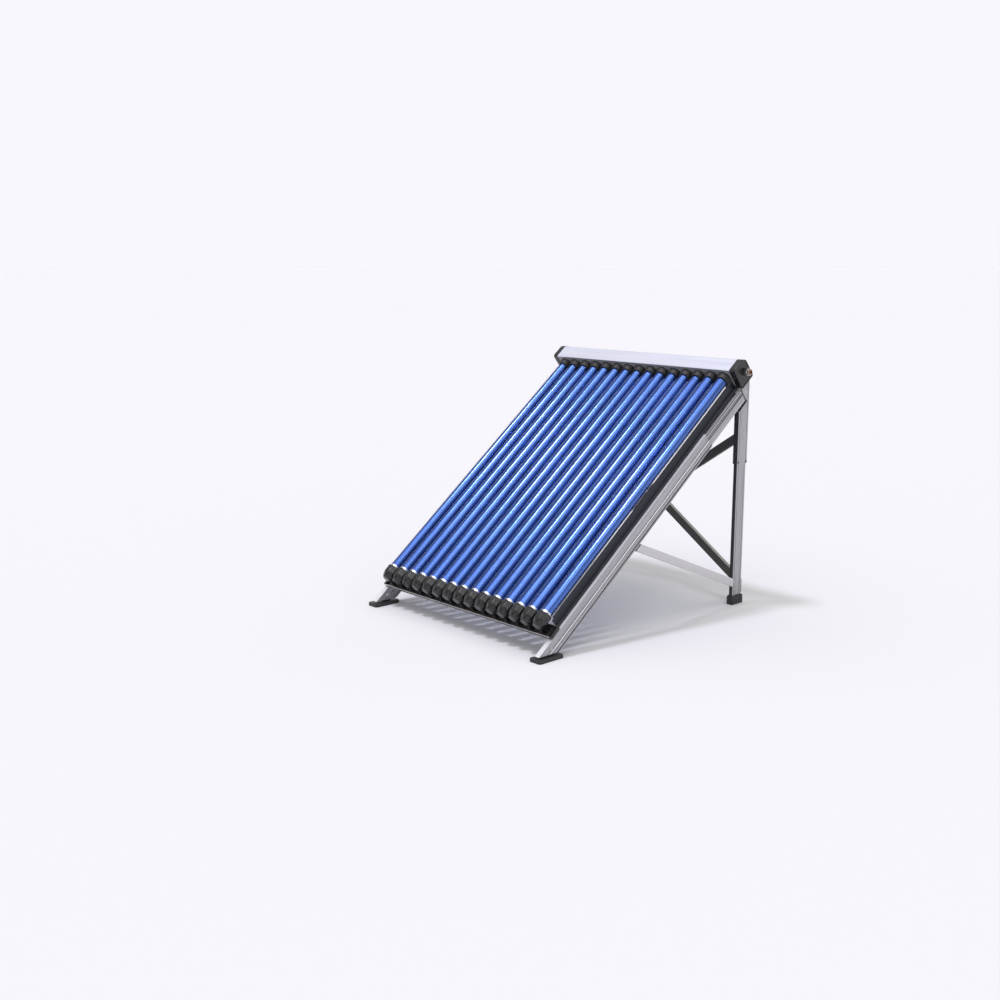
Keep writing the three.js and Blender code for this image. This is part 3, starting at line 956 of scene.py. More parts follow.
@dataclass
class CupRow:
    """The faceted cups that hold the tubes' lower ends, each clipped into the track."""

    shop: Workshop
    low: float = 222 * MM
    shoulder: float = 254 * MM
    top: float = 290 * MM
    radius: float = 34.4 * MM
    mouth: float = 29.4 * MM
    mouth_deep: float = 11 * MM
    waist: Pair = (28.6 * MM, 239 * MM)
    nose: Pair = (20.5 * MM, 223.5 * MM)
    tip_r: float = 17.5 * MM
    collar: tuple[Pair, ...] = ((1.2, 0), (0, 2.2), (0, 12), (0.7, 13))
    stem: tuple[float, float, float] = (12 * MM, 238 * MM, 266 * MM)
    rib: tuple[float, float, float] = (3 * MM, 233 * MM, 240 * MM)
    stem_low: float = -62.6 * MM

    def ring(self, shape: Shape, radius: float, height: float, turn: float) -> list[bmesh.types.BMVert]:
        """Adds one octagon of the cup.

        Args:
            shape: The mesh that it joins.
            radius: Its corner radius.
            height: Where it lies along the slope.
            turn: Its turn in radians.

        Returns:
            Its corners.
        """
        angles = [turn + math.pi / 4 * k for k in range(8)]
        return [shape.verts.new((radius * math.sin(a), height, radius * math.cos(a))) for a in angles]

    def barrel(self, shape: Shape) -> None:
        """Adds the octagonal barrel with its cut-gem taper and open mouth."""
        flat = math.pi / 8
        stations = [(self.radius - inset, self.top - drop) for inset, drop in mm(*self.collar)]
        stations.append((stations[-1][0], self.shoulder))
        rings = [self.ring(shape, *station, flat) for station in stations]
        middle = self.ring(shape, *self.waist, 0.0)
        nose = self.ring(shape, *self.nose, flat)
        tip = self.ring(shape, self.tip_r, self.low, flat)
        mouth = self.mouth / math.cos(flat)
        rim = self.ring(shape, mouth, self.top, flat)
        throat = self.ring(shape, mouth, self.top - self.mouth_deep, flat)
        base = rings[-1]
        for k in range(8):
            after = (k + 1) % 8
            for upper, lower in [(throat, rim), (rim, rings[0]), *zip(rings, rings[1:]), (nose, tip)]:
                shape.faces.new((upper[k], upper[after], lower[after], lower[k]))
            shape.faces.new((base[k], middle[after], middle[k]))
            shape.faces.new((base[k], base[after], middle[after]))
            shape.faces.new((middle[k], middle[after], nose[k]))
            shape.faces.new((nose[k], middle[after], nose[after]))
        shape.faces.new(tip)
        shape.faces.new(throat)

    def build(self) -> None:
        """Builds the row of cups."""
        shape = bmesh.new()
        self.barrel(shape)
        bmesh.ops.recalc_face_normals(shape, faces=shape.faces)
        corners = [
            edge
            for edge in shape.edges
            if edge.calc_face_angle(0.0) > math.radians(16)
            and max(vert.co.y for vert in edge.verts) < self.top - 5 * MM
        ]
        # The bevelled facet edges take a lighter finish: a painted highlight along each facet edge.
        ridge = bmesh.ops.bevel(shape, geom=corners, offset=0.8 * MM, segments=1, affect="EDGES")
        for face in ridge["faces"]:
            face.material_index = 1
        half, low, high = self.stem
        add_box(shape, (-half, low, self.stem_low), (half, high, -20 * MM), 1.5 * MM)
        half, low, high = self.rib
        add_box(shape, (-half, low, self.stem_low + 4 * MM), (half, high, -24 * MM), 0.8 * MM)
        nodes = self.shop.numbered("tube_cup")
        self.shop.lay_row("tube_cups", shape, "black_moulding", "moulding_edge_highlight", nodes=nodes, facets=4)


# ---------------------------------------------------------------- header


@dataclass
class Header:
    """The manifold header: sheet cover, collars, pipework, end caps and pipe unions."""

    shop: Workshop
    half: float = 569 * MM
    front: float = 1785 * MM
    rear: float = 1884 * MM
    top: float = 50 * MM
    bottom: float = -65.7 * MM
    chamfer: Pair = (22 * MM, 20 * MM)
    sheet: float = 2 * MM
    cap_thick: float = 31 * MM
    cap_lip: float = 0.95 * MM
    cap_bore: float = 11.4 * MM
    pipe: Pair = (1848 * MM, -12 * MM)
    pipe_r: Pair = (20 * MM, 16 * MM)
    stub_r: float = 11 * MM
    stub_bore: float = 8 * MM
    stub_end: float = 632 * MM
    collar_tip: float = 1754 * MM
    collar_bore: float = 29.35 * MM
    nut: Pair = (602 * MM, 628 * MM)
    nut_flat: float = 17 * MM
    nut_sides: int = 24

    def section(self, margin: float) -> list[Pair]:
        """The header's section drawn in by a margin, as (s, n)."""
        return [
            (self.front + margin, self.bottom + margin),
            (self.rear - margin, self.bottom + margin),
            (self.rear - margin, self.top - margin - self.chamfer[1]),
            (self.rear - margin - self.chamfer[0], self.top - margin),
            (self.front + margin, self.top - margin),
        ]

    def cover(self) -> None:
        """Builds the folded sheet cover, open at the front, with soft folds, and its thin seams."""
        outside = rounded(self.section(0), [1.5 * MM, 3 * MM, 9 * MM, 9 * MM, 1.8 * MM], 5)
        inner = self.section(self.sheet)
        mouth = (self.front, self.bottom + self.sheet)
        loop = [*outside, (self.front, self.top - self.sheet), inner[3], inner[2], inner[1], mouth]
        shape = prism(loop, -self.half, self.half, Run.ACROSS)
        place = self.shop.slope.matrix()
        nodes = ["manifold_cover"]
        self.shop.lay("header_cover", shape, place, "collector", "silver_casing", nodes=nodes, sharp=25)
        seams = bmesh.new()
        for edge, reach in (
            (self.front, mm((-0.9, -3.4), (0.4, -0.4))),
            (self.rear, mm((-1.0, -27), (0.7, -24.5))),
        ):
            low, high = [(edge + s, self.top + n) for s, n in reach]
            add_box(seams, (-self.half, *low), (self.half, *high), 0.5 * MM)
        self.shop.lay("header_seams", seams, place, "collector", "silver_casing")

    def collars(self) -> None:
        """Builds the ribbed rubber collars round the tubes and the strip that joins them."""
        tip, bore = self.collar_tip, self.collar_bore
        lip = mm(
            (31.6, 0), (32.8, 1.4), (33.3, 4), (32.2, 5.4), (32.4, 8), (34.2, 17), (35.6, 24), (36.4, 26.5)
        )
        flange = mm((36.4, -0.4), (31.6, -0.4), (31.6, 6))
        profile = [
            (bore, tip),
            *[(radius, tip + s) for radius, s in lip],
            *[(radius, self.front + s) for radius, s in flange],
            (bore, self.front + 6 * MM),
            (bore, tip),
        ]
        self.shop.lay_row("tube_collars", lathe(profile, 32), "collar_rubber", nodes=["tube_collar_strip"])

    def pipework(self) -> None:
        """Builds the round water pipe with its stubs, and the heat pipes plugged into it."""
        radius, bore = self.pipe_r
        step = self.half - 5 * MM
        end = step - 4 * MM
        soft = 0.8 * MM
        half_out = [
            (self.stub_bore, self.stub_end),
            (self.stub_r - soft, self.stub_end),
            (self.stub_r, self.stub_end - soft),
            (self.stub_r, step),
            (radius, step),
        ]
        half_in = [(self.stub_bore, end), (bore, end)]
        outside = [(r, -x) for r, x in half_out] + [(r, x) for r, x in reversed(half_out)]
        inside = half_in + [(r, -x) for r, x in reversed(half_in)]
        place = self.shop.slope.matrix() @ axle(0, *self.pipe)
        shape = lathe([*outside, *inside, outside[0]], 32)
        self.shop.lay("water_pipe", shape, place, "collector", "copper", nodes=["copper_manifold"])
        rod = mm((0, 330), (3.2, 331), (4, 335), (4, 1790), (7, 1797), (7, 1825), (5, 1827.5), (0, 1827.8))
        self.shop.lay_row("heat_pipes", lathe(rod, 14), "copper")

    def end_cap(self, side: Side) -> None:
        """Builds one moulded end cap with a raised rim, a sunken face and a bore for the pipe.

        Args:
            side: Which side it belongs to.
        """
        radii = [7 * MM, 9 * MM, 16 * MM, 18 * MM, 12 * MM]
        near = self.half + 0.3 * MM
        far = near + self.cap_thick
        lip = -self.cap_lip
        outlines = []
        for margin, x in (
            (lip + 0.3 * MM, near),
            (lip, near + 1 * MM),
            (lip, far - 3.2 * MM),
            (lip + 0.9 * MM, far - 0.9 * MM),
            (lip + 3.2 * MM, far),
            (5.0 * MM, far),
            (6.2 * MM, far - 0.8 * MM),
            (7.0 * MM, far - 2.6 * MM),
        ):
            loop = rounded(self.section(margin), [max(radius - margin, 2 * MM) for radius in radii], 6)
            outlines.append([(side.value * x, s, n) for s, n in loop])
        place = self.shop.slope.matrix()
        bore = lathe([(0, 0.55), (self.cap_bore, 0.55), (self.cap_bore, 0.65), (0, 0.65)], 32, side)
        self.shop.lay(
            f"header_end_cap_{side.label}", loft(outlines), place, "collector", "black_moulding",
            nodes=[f"end_cap_{side.label}"], sharp=28, cuts=[(bore, place @ axle(0, *self.pipe))],
        )

    def boss(self, side: Side) -> None:
        """Builds the turned collar round the pipe, behind its union nut.

        Args:
            side: Which side it belongs to.
        """
        near = self.half + self.cap_thick - 2.2 * MM
        profile = mm((11.5, 0), (17.6, 0), (17.6, 1.6), (16.8, 2.3), (11.5, 2.3), (11.5, 0))
        shape = lathe([(r, near + x) for r, x in profile], 32, side)
        place = self.shop.slope.matrix() @ axle(0, *self.pipe)
        self.shop.lay(f"pipe_grommet_{side.label}", shape, place, "collector", "collar_rubber")

    def union_nut(self, side: Side) -> None:
        """Builds one hexagonal union nut with turned chamfers and a bored collar.

        Args:
            side: Which side it belongs to.
        """
        near, far = self.nut
        flat = self.nut_flat
        corner = flat / math.cos(math.pi / 6)
        turns = [2 * math.pi * k / self.nut_sides for k in range(self.nut_sides)]
        hexagon = [flat / math.cos((turn + math.pi / 6) % (math.pi / 3) - math.pi / 6) for turn in turns]
        outlines = []
        for x, radius, edges in (
            (near, 12 * MM, False),
            (near, flat, True),
            (near + 1.6 * MM, corner, True),
            (near + 15 * MM, corner, True),
            (near + 16.5 * MM, flat, True),
            (near + 17.5 * MM, 15.6 * MM, False),
            (far - 1 * MM, 15.6 * MM, False),
            (far, 14.8 * MM, False),
            (far, 12.6 * MM, False),
            (far - 1.2 * MM, 12 * MM, False),
        ):
            reach = [min(radius, limit) if edges else radius for limit in hexagon]
            outlines.append([
                (side.value * x, r * math.cos(turn), r * math.sin(turn)) for r, turn in zip(reach, turns)
            ])
        place = self.shop.slope.matrix() @ Matrix.Translation((0, *self.pipe))
        node = f"union_nut_{side.label}"
        self.shop.lay(
            f"pipe_union_nut_{side.label}", loft(outlines, ring=True), place, node, "nickel_fitting",
            nodes=[node], sharp=20,
        )

    def build(self) -> None:
        """Builds the whole header."""
        self.cover()
        self.collars()
        self.pipework()
        self.shop.redress("manifold_front_plate", "grey_plate")
        self.shop.redress("manifold_insulation", "mineral_wool")
        for side in Side:
            self.end_cap(side)
            self.boss(side)
            self.union_nut(side)


# ---------------------------------------------------------------- frame of the collector


@dataclass
class Rails:
    """The two spliced side rails, the trims beside the tubes and the track at their foot."""

    shop: Workshop
    outer: float = 585 * MM
    wide: float = 28 * MM
    front: float = -66 * MM
    rear: float = -144 * MM
    wall: float = 3 * MM
    end_z: float = 23.5 * MM
    splice: float = 1474 * MM
    wave: float = 7 * MM
    upper_start: float = 1380 * MM
    upper_end: float = 1785 * MM
    slot_half: float = 7 * MM
    pivot: Pair = (190 * MM, -91 * MM)
    pivot_r: float = 6.5 * MM
    hole: Pair = (1457 * MM, -79 * MM)
    hole_r: float = 2.2 * MM
    lug_half: float = 6 * MM
    lug_reach: tuple[float, float, float] = (-128 * MM, -67.2 * MM, 1503 * MM)
    track_s: Pair = (218.5 * MM, 283 * MM)
    track_top: float = -50 * MM
    track_wall: float = 2.4 * MM
    track_half: float = 575 * MM
    slots: tuple[int, float] = (9, 124 * MM)

    def ribs(self) -> list[Pair]:
        """The lower rail's ribs as (n, depth): a band, a round ridge, fine grooves, the clamp groove."""
        flat = mm((-67.2, 0.0), (-80.0, 0.0), (-98.6, 0.0), (-99.4, 1.0), (-102.6, 1.0))
        arc = [math.pi * k / 6 for k in range(7)]
        ridge = mm(*[(-107.0 + 3.6 * math.cos(a), 1.0 - 1.0 * math.sin(a)) for a in arc])
        fine = mm(
            (-112.2, 1.0), (-113.0, 0.3), (-116.0, 0.3), (-116.6, 1.0), (-118.0, 1.0), (-118.6, 0.3),
            (-121.4, 0.3), (-122.0, 0.9), (-123.4, 0.9), (-124.0, 0.2), (-129.0, 0.2),
        )
        return [*flat, *ridge, *fine, *mm((-129.4, 2.4), (-135.2, 2.4), (-135.6, 0.0), (-142.8, 0.0))]

    def lower_loop(self) -> tuple[list[Pair], list[int], list[int]]:
        """Draws the lower rail's section.

        Returns:
            The outline in (x, n), the groove floors painted dark as shade and the sides painted with a
            highlight.
        """
        inner, middle = self.outer - self.wide, self.outer - self.wide / 2
        slot, lip = self.slot_half, self.rear + self.wall
        soft, edge = 0.8 * MM, 1.2 * MM
        loop = subdivide(
            [
                (self.outer - edge, self.front),
                *[(self.outer - depth, n) for n, depth in self.ribs()],
                (self.outer - edge, self.rear),
                (middle + slot + soft, self.rear),
                (middle + slot, self.rear + soft),
                (middle + slot, lip),
                (self.outer - self.wall, lip),
                (self.outer - self.wall, self.front - self.wall),
                (inner + self.wall, self.front - self.wall),
                (inner + self.wall, lip),
                (middle - slot, lip),
                (middle - slot, self.rear + soft),
                (middle - slot - soft, self.rear),
                (inner + edge, self.rear),
                *[(inner + depth, n) for n, depth in reversed(self.ribs())],
                (inner + edge, self.front),
            ],
            6 * MM,
        )
        # The front face and the top of the round ridge take a painted highlight.
        bright = [
            k
            for k, (x, n) in enumerate(loop)
            if min(n, loop[(k + 1) % len(loop)][1]) > self.front - 1e-6
            or (-107.2 * MM < n <= -103.2 * MM and x > self.outer - 1.2 * MM)
        ]
        return loop, groove_floors(loop, self.outer, inner, (0.85 * MM, 2.5 * MM)), bright

    def splice_at(self, n: float) -> float:
        """Where the lower rail ends at that height in its section."""
        share = (n - self.rear) / (self.front - self.rear)
        return self.splice + self.wave * math.sin(2 * math.pi * share)

    def lower(self, side: Side) -> None:
        """Builds one lower rail with its level foot cut and waved splice cut.

        Args:
            side: Which side it belongs to.
        """
        tilt, place = self.shop.slope.tilt, self.shop.slope.matrix()
        loop, shaded, bright = self.lower_loop()
        shape = prism(
            loop,
            lambda x, n: (self.end_z - n * math.cos(tilt)) / math.sin(tilt),
            lambda x, n: self.splice_at(n),
            Run.SLOPE,
            side,
            shaded,
            bright,
        )
        cuts = []
        for spot, radius, near in ((self.pivot, self.pivot_r, 0.55), (self.hole, self.hole_r, 0.572)):
            drill = lathe([(0, near), (radius, near), (radius, 0.6), (0, 0.6)], 24, side)
            cuts.append((drill, place @ axle(0, *spot)))
        self.shop.lay(
            f"rail_lower_{side.label}", shape, place, "collector",
            "rail_aluminium", "groove_shade", "rail_edge_highlight",
            nodes=[f"lower_rail_{side.label}"], sharp=22, cuts=cuts,
        )

    def upper(self, side: Side) -> None:
        """Builds one upper rail, which slides into the lower one.

        Args:
            side: Which side it belongs to.
        """
        inset, soft, wall = self.wall + 0.3 * MM, 1 * MM, 2.5 * MM
        face, back = self.outer - inset, self.outer - self.wide + inset
        front, rear = self.front - inset, self.rear + inset
        ribs = mm(
            (-70.4, 0.0), (-74.8, 0.0), (-75.2, 1.7), (-79.6, 1.7), (-80.0, 0.0), (-90.4, 0.0), (-91.0, 1.7),
            (-97.0, 1.7), (-97.4, 1.1), (-100.0, 1.1), (-100.4, 1.7), (-106.0, 1.7), (-106.6, 0.0),
            (-118.0, 0.0), (-118.4, 0.8), (-120.4, 0.8), (-120.8, 0.0), (-139.6, 0.0),
        )
        loop = [
            (face - soft, front),
            *[(face - depth, n) for n, depth in ribs],
            (face - soft, rear),
            (back + soft, rear),
            *[(back + depth, n) for n, depth in reversed(ribs)],
            (back + soft, front),
        ]
        shaded = groove_floors(loop, face, back, (1.69 * MM, 1.71 * MM))
        shape = prism(loop, self.upper_start, self.upper_end, Run.SLOPE, side, shaded)
        hollow = box(
            (back + wall, self.upper_end - 26 * MM, rear + wall),
            (face - wall, self.upper_end + 9 * MM, front - wall),
            side,
        )
        place = self.shop.slope.matrix()
        self.shop.lay(
            f"rail_upper_{side.label}", shape, place, "collector", "rail_aluminium", "groove_shade",
            nodes=[f"upper_rail_{side.label}"], sharp=22, cuts=[(hollow, place)],
        )

    def lug(self, side: Side) -> None:
        """Builds the flat lug that runs from the upper rail's end under the header.

        Args:
            side: Which side it belongs to.
        """
        middle, tilt = self.outer - self.wide / 2, self.shop.slope.tilt
        low, seat, limit = self.lug_reach
        ends = [(limit + n * math.sin(tilt)) / math.cos(tilt) for n in (low, seat)]
        start = self.upper_end - 24 * MM
        corners = [(start, low), (ends[0], low), (ends[1], seat), (start, seat)]
        loop = rounded(corners, [1 * MM, 6 * MM, 6 * MM, 1 * MM])
        shape = prism(loop, middle - self.lug_half, middle + self.lug_half, Run.ACROSS, side)
        place = self.shop.slope.matrix()
        self.shop.lay(f"header_lug_{side.label}", shape, place, "collector", "strut_aluminium")

    def trim(self, side: Side) -> None:
        """Builds the dark trim strip between the last tube and the rail, notched at both ends.

        Args:
            side: Which side it belongs to.
        """
        low = self.front + 0.3 * MM
        loop = mm(
            (557.6, -65.7), (570.5, -65.7), (570.5, -51.2), (569.6, -50.1), (567.4, -50.1), (566.9, -51.0),
            (565.2, -51.0), (564.7, -50.1), (562.6, -50.1), (561.2, -48.9), (560.0, -46.4), (560.0, -13.0),
            (560.0, -11.6), (559.4, -11.0), (558.2, -11.0), (557.6, -11.6),
        )
        shape = prism([(x, max(n, low)) for x, n in loop], 284 * MM, 1784 * MM, Run.SLOPE, side)
        place = self.shop.slope.matrix()
        cuts = [
            (box((550 * MM, start, -21 * MM), (565 * MM, end, 5 * MM), side), place)
            for start, end in mm((270, 296), (1750, 1800))
        ]
        self.shop.lay(
            f"trim_strip_{side.label}", shape, place, "collector", "charcoal_trim",
            nodes=[f"side_trim_{side.label}"], cuts=cuts,
        )

    def track(self) -> None:
        """Builds the slotted channel that the cups clip into, with its rolled lips and end plugs."""
        low, wall = self.front + 0.3 * MM, self.track_wall
        first, last = self.track_s
        top, soft = self.track_top, 0.8 * MM
        lip = [
            (first + s, top + n)
            for s, n in mm((4.2, -2.6), (4.2, -0.6), (3.6, 0), (0.8, 0), (0, -0.8), (0, -4.2), (0.7, -5),
                           (0.7, -13.2), (0, -14))
        ]
        loop = [
            (first, low), (last, low), (last, top - soft), (last - soft, top), (last - wall, top),
            (last - wall, low + wall), (first + wall, low + wall), (first + wall, top - 2.6 * MM), *lip,
        ]
        # The lip tops and edge faces take a lighter finish: a painted highlight along the lips.
        lit_lip_sides = (3, 10, 11, 12, 16)
        shape = prism(loop, -self.track_half, self.track_half, Run.ACROSS, shaded=lit_lip_sides)
        piece = settle("slotted_track", shape, Matrix.Identity(4))
        slot = box((-24 * MM, first - 4 * MM, -62.2 * MM), (24 * MM, first + 7 * MM, -57.2 * MM))
        cutter = settle("slot_cutter", slot, Matrix.Identity(4))
        count, step = self.slots
        start = (-(count - 1) / 2 * step, 0, 0)
        self.shop.row.apply(cutter, count, start, (step, 0, 0), self.shop.finishes.of("dark_track"))
        carve(piece, cutter)
        piece.data.transform(self.shop.slope.matrix())
        self.shop.hand_over(piece, "collector", "dark_track", ["tube_track"], "lip_highlight")
        gap = 2.7 * MM
        for side in Side:
            corners = (569 * MM, first + gap, low + gap), (584.6 * MM, last - gap, top + 1.2 * MM)
            plug = box(*corners, side, 1.2 * MM)
            place = self.shop.slope.matrix()
            self.shop.lay(f"track_plug_{side.label}", plug, place, "collector", "black_moulding")

    def build(self) -> None:
        """Builds the frame of the collector."""
        self.track()
        for side in Side:
            self.lower(side)
            self.upper(side)
            self.lug(side)
            self.trim(side)


# ---------------------------------------------------------------- stand


@dataclass
class Stand:
    """Feet, telescopic rear legs, side struts and the crossed braces between the legs."""

    shop: Workshop
    outer: float = 585 * MM
    wide: float = 28 * MM
    wall: float = 3 * MM
    leg_front: float = 1440 * MM
    leg_rear: float = 1514 * MM
    sleeve_low: float = 695 * MM
    sleeve_top: float = 1200 * MM
    inner_inset: float = 3.5 * MM
    leg_top: float = 868 * MM
    leg_floor: float = 6.3 * MM
    stud: Pair = (1812 * MM, -108 * MM)
    foot_margin: float = 4.9 * MM
    plate_y: Pair = (121.5 * MM, 265 * MM)
    plate_top: float = 16.5 * MM
    plate_half: float = 33 * MM
    pivot: Pair = (205.48 * MM, 46.45 * MM)
    ear_r: float = 17.8 * MM
    ear_half: float = 6 * MM
    strut: tuple[float, float, float] = (1428 * MM, 117 * MM, 0.4142)
    strut_thick: float = 18 * MM
    strut_deep: float = 38 * MM
    slider_half: float = 5.5 * MM
    slider_deep: float = 22 * MM

    @property
    def middle(self) -> float:
        """The middle of a rail or leg in x."""
        return self.outer - self.wide / 2

    def leg_loop(self, inset: float) -> tuple[list[Pair], list[int]]:
        """A leg's ribbed outline in (x, y).

        Args:
            inset: How far it lies inside the sleeve's outline.

        Returns:
            The outline and the sides that lie in shade.
        """
        face, back = self.outer - inset, self.outer - self.wide + inset
        y0, y1 = self.leg_front + inset, self.leg_rear - inset
        soft = 1 * MM
        ribs = mm(
            (1.4, 0.0), (9.0, 0.0), (9.6, 0.9), (12.4, 0.9), (13.0, 0.2), (20.0, 0.2), (20.6, 1.5),
            (26.0, 1.5), (26.5, 1.0), (28.5, 1.0), (29.0, 1.5),
        )
        half = [(at, depth) for at, depth in ribs if at < (y1 - y0) / 2 - soft]
        skin = [(y0 + at, depth) for at, depth in half] + [(y1 - at, depth) for at, depth in reversed(half)]
        loop = [
            (face - soft, y0),
            *[(face - depth, y) for y, depth in skin],
            (face - soft, y1),
            (back + soft, y1),
            *[(back + depth, y) for y, depth in reversed(skin)],
            (back + soft, y0),
        ]
        # The last side is the front face, painted dark as shade like the groove floors.
        return loop, [*groove_floors(loop, face, back, (0.89 * MM, 0.91 * MM)), len(loop) - 1]

    def column(self, side: Side, inset: float, low: float, high: float) -> tuple[Shape, Shape]:
        """A ribbed upright tube.

        Args:
            side: Which leg.
            inset: How far it lies inside the sleeve's outline.
            low: Its foot.
            high: Its top.

        Returns:
            The column and the hollow that is cut out of it.
        """
        loop, shaded = self.leg_loop(inset)
        wall, past = inset + self.wall, 10 * MM
        hollow = box(
            (self.outer - self.wide + wall, self.leg_front + wall, low - past),
            (self.outer - wall, self.leg_rear - wall, high + past),
            side,
        )
        return prism(loop, low, high, Run.UPRIGHT, side, shaded), hollow

    def sleeve(self, side: Side) -> None:
        """Builds a rear leg's outer sleeve, notched round the rail's end and the header, and its stud.

        Args:
            side: Which side it belongs to.
        """
        upright, slope = self.shop.slope.upright(), self.shop.slope.matrix()
        shape, hollow = self.column(side, 0.0, self.sleeve_low, self.sleeve_top)
        notch = mm((1400, -151), (1791, -151), (1791, -76.7), (2100, -76.7), (2100, 300), (1400, 300))
        cuts = [(hollow, upright), (prism(notch, 0.5, 0.65, Run.ACROSS, side), slope)]
        self.shop.lay(
            f"leg_sleeve_{side.label}", shape, upright, "upper_legs", "leg_aluminium", "groove_shade",
            nodes=[f"upper_leg_{side.label}"], sharp=22, cuts=cuts,
        )
        reach = self.wide / 2 - 0.6 * MM
        half = [(0, reach), (5.2 * MM, reach), (6 * MM, reach - 0.8 * MM)]
        shape = lathe([(r, -x) for r, x in half] + half[::-1], 24)
        place = slope @ axle(side.value * self.middle, *self.stud)
        self.shop.lay(f"leg_hinge_stud_{side.label}", shape, place, "upper_legs", "nickel_fitting")

    def lower_leg(self, side: Side) -> None:
        """Builds the inner leg that slides in the sleeve.

        Args:
            side: Which side it belongs to.
        """
        place = self.shop.slope.upright()
        shape, hollow = self.column(side, self.inner_inset, self.leg_floor, self.leg_top)
        self.shop.lay(
            f"leg_inner_{side.label}", shape, place, "rear_base", "leg_aluminium", "groove_shade",
            nodes=[f"lower_leg_{side.label}"], sharp=22, cuts=[(hollow, place)],
        )

    def pad(self, side: Side, low: Pair, high: Pair, radius: float, steps: int, stations: Loop) -> Shape:
        """A moulded pad with round corners that is narrower at some heights.

        Args:
            side: Which side it stands on.
            low: Its lowest corner in (x, y).
            high: Its highest corner in (x, y).
            radius: The radius of its upright corners.
            steps: How many pieces each corner has.
            stations: (height, inset) pairs.

        Returns:
            The shape.
        """
        corners = [low, (high[0], low[1]), high, (low[0], high[1])]
        base = [Vector(point) for point in rounded(corners, [radius] * 4, steps)]
        centre = (Vector(low) + Vector(high)) / 2
        half = (Vector(high) - Vector(low)) / 2
        outlines = []
        for z, inset in stations:
            share = Vector((1 - inset / half.x, 1 - inset / half.y))
            spots = [centre + (point - centre) * share for point in base]
            outlines.append([(side.value * spot.x, spot.y, z) for spot in spots])
        return loft(outlines)

    def rear_foot(self, side: Side) -> None:
        """Builds the moulded cap under a rear leg, with its sole and grip ribs, and the leg's lock plate.

        Args:
            side: Which side it belongs to.
        """
        margin, place = self.foot_margin, self.shop.slope.upright()
        stations = mm(
            (0.0, 1.6), (1.6, 0.0), (9.0, 0.0), (10.0, 1.0), (12.0, 1.0), (13.0, 0.0), (20.0, 0.0),
            (21.0, 1.0), (23.0, 1.0), (24.0, 0.0), (38.0, 0.6), (41.0, 1.4), (42.9, 2.6), (42.9, 8.1),
            (6.0, 8.1),
        )
        low = (self.outer - self.wide - margin, self.leg_front - margin)
        high = (self.outer + margin, self.leg_rear + margin)
        shape = self.pad(side, low, high, 6 * MM, 5, stations)
        nodes = [f"rear_foot_{side.label}"]
        name = f"rear_foot_cap_{side.label}"
        self.shop.lay(name, shape, place, "rear_base", "foot_rubber", nodes=nodes, sharp=26)
        lock = box(
            (self.middle - 9 * MM, self.leg_rear - 3.4 * MM, 52 * MM),
            (self.middle + 9 * MM, self.leg_rear + 3.2 * MM, 119 * MM),
            side,
            2.8 * MM,
        )
        self.shop.lay(f"leg_lock_plate_{side.label}", lock, place, "rear_base", "black_moulding")

    def front_foot(self, side: Side) -> None:
        """Builds a front foot: a moulded plate with a rounded ear that stands in the rail's hollow.

        Args:
            side: Which side it belongs to.
        """
        place = self.shop.slope.upright()
        stations = mm(
            (0.0, 1.2), (1.2, 0.0), (4.4, 0.0), (5.0, 1.1), (6.2, 1.1), (6.8, 0.0), (14.3, 0.0), (15.8, 0.8),
            (16.4, 2.4),
        )
        low = (self.middle - self.plate_half, self.plate_y[0])
        high = (self.middle + self.plate_half, self.plate_y[1])
        shape = self.pad(side, low, high, 9 * MM, 6, stations)
        nodes = [f"front_foot_{side.label}"]
        name = f"front_foot_plate_{side.label}"
        self.shop.lay(name, shape, place, "front_feet", "black_steel", nodes=nodes, sharp=26)
        (y, z), radius = self.pivot, self.ear_r
        angles = [math.pi * k / 16 for k in range(17)]
        arc = [(y + radius * math.cos(a), z + radius * math.sin(a)) for a in angles]
        base, spread = self.plate_top - 1 * MM, radius + 6 * MM
        loop = [*arc, (y - spread, base), (y + spread, base)]
        ear = prism(loop, self.middle - self.ear_half, self.middle + self.ear_half, Run.ACROSS, side)
        bore = lathe(mm((0, -50), (6.4, -50), (6.4, 50), (0, 50)), 24)
        cuts = [(bore, place @ axle(side.value * self.middle, y, z))]
        self.shop.lay(f"front_foot_ear_{side.label}", ear, place, "front_feet", "black_steel", cuts=cuts)

    def hinge_pin(self, side: Side) -> None:
        """Builds the front hinge pin with two domed heads, the outer one with a drilled centre.

        Args:
            side: Which side it belongs to.
        """
        inner, outer = self.outer - self.wide - 4 * MM, self.outer + 4 * MM
        dome = mm((6.0, 0.2), (8.4, 1.4), (9.0, 2.6), (9.0, 3.7), (6.0, 3.7))
        centre = mm((3.0, 0), (2.4, 1.6), (0, 1.6))
        heads = [(r, inner + x) for r, x in dome] + [(r, outer - x) for r, x in [*reversed(dome), *centre]]
        shape = lathe([(0.0, inner), *heads], 32, side)
        place = self.shop.slope.upright() @ axle(0, *self.pivot)
        nodes = [f"front_hinge_pin_{side.label}"]
        name = f"front_pin_{side.label}"
        self.shop.lay(name, shape, place, "front_feet", "nickel_fitting", nodes=nodes)

    def strut_outline(self, tilt: float, deep: float, end: float) -> list[Pair]:
        """A bar on the strut's centre line, from the leg to the line n = end.

        Args:
            tilt: The collector's slope in radians.
            deep: How deep the bar is.
            end: Where it ends, square to the slope.

        Returns:
            Its corners as (y, z): low and high at the foot, then high and low at the tip.
        """
        y, z, slope = self.strut
        rise = deep / 2 / math.cos(math.atan(slope))
        foot = self.leg_front + 3.3 * MM
        low = z + (y - foot) * slope - rise
        tips = []
        for offset in (rise, -rise):
            level = z + y * slope + offset
            at = (level * math.cos(tilt) - end) / (math.sin(tilt) + slope * math.cos(tilt))
            tips.append((at, z + (y - at) * slope + offset))
        return [(foot, low), (foot, low + 2 * rise), *tips]

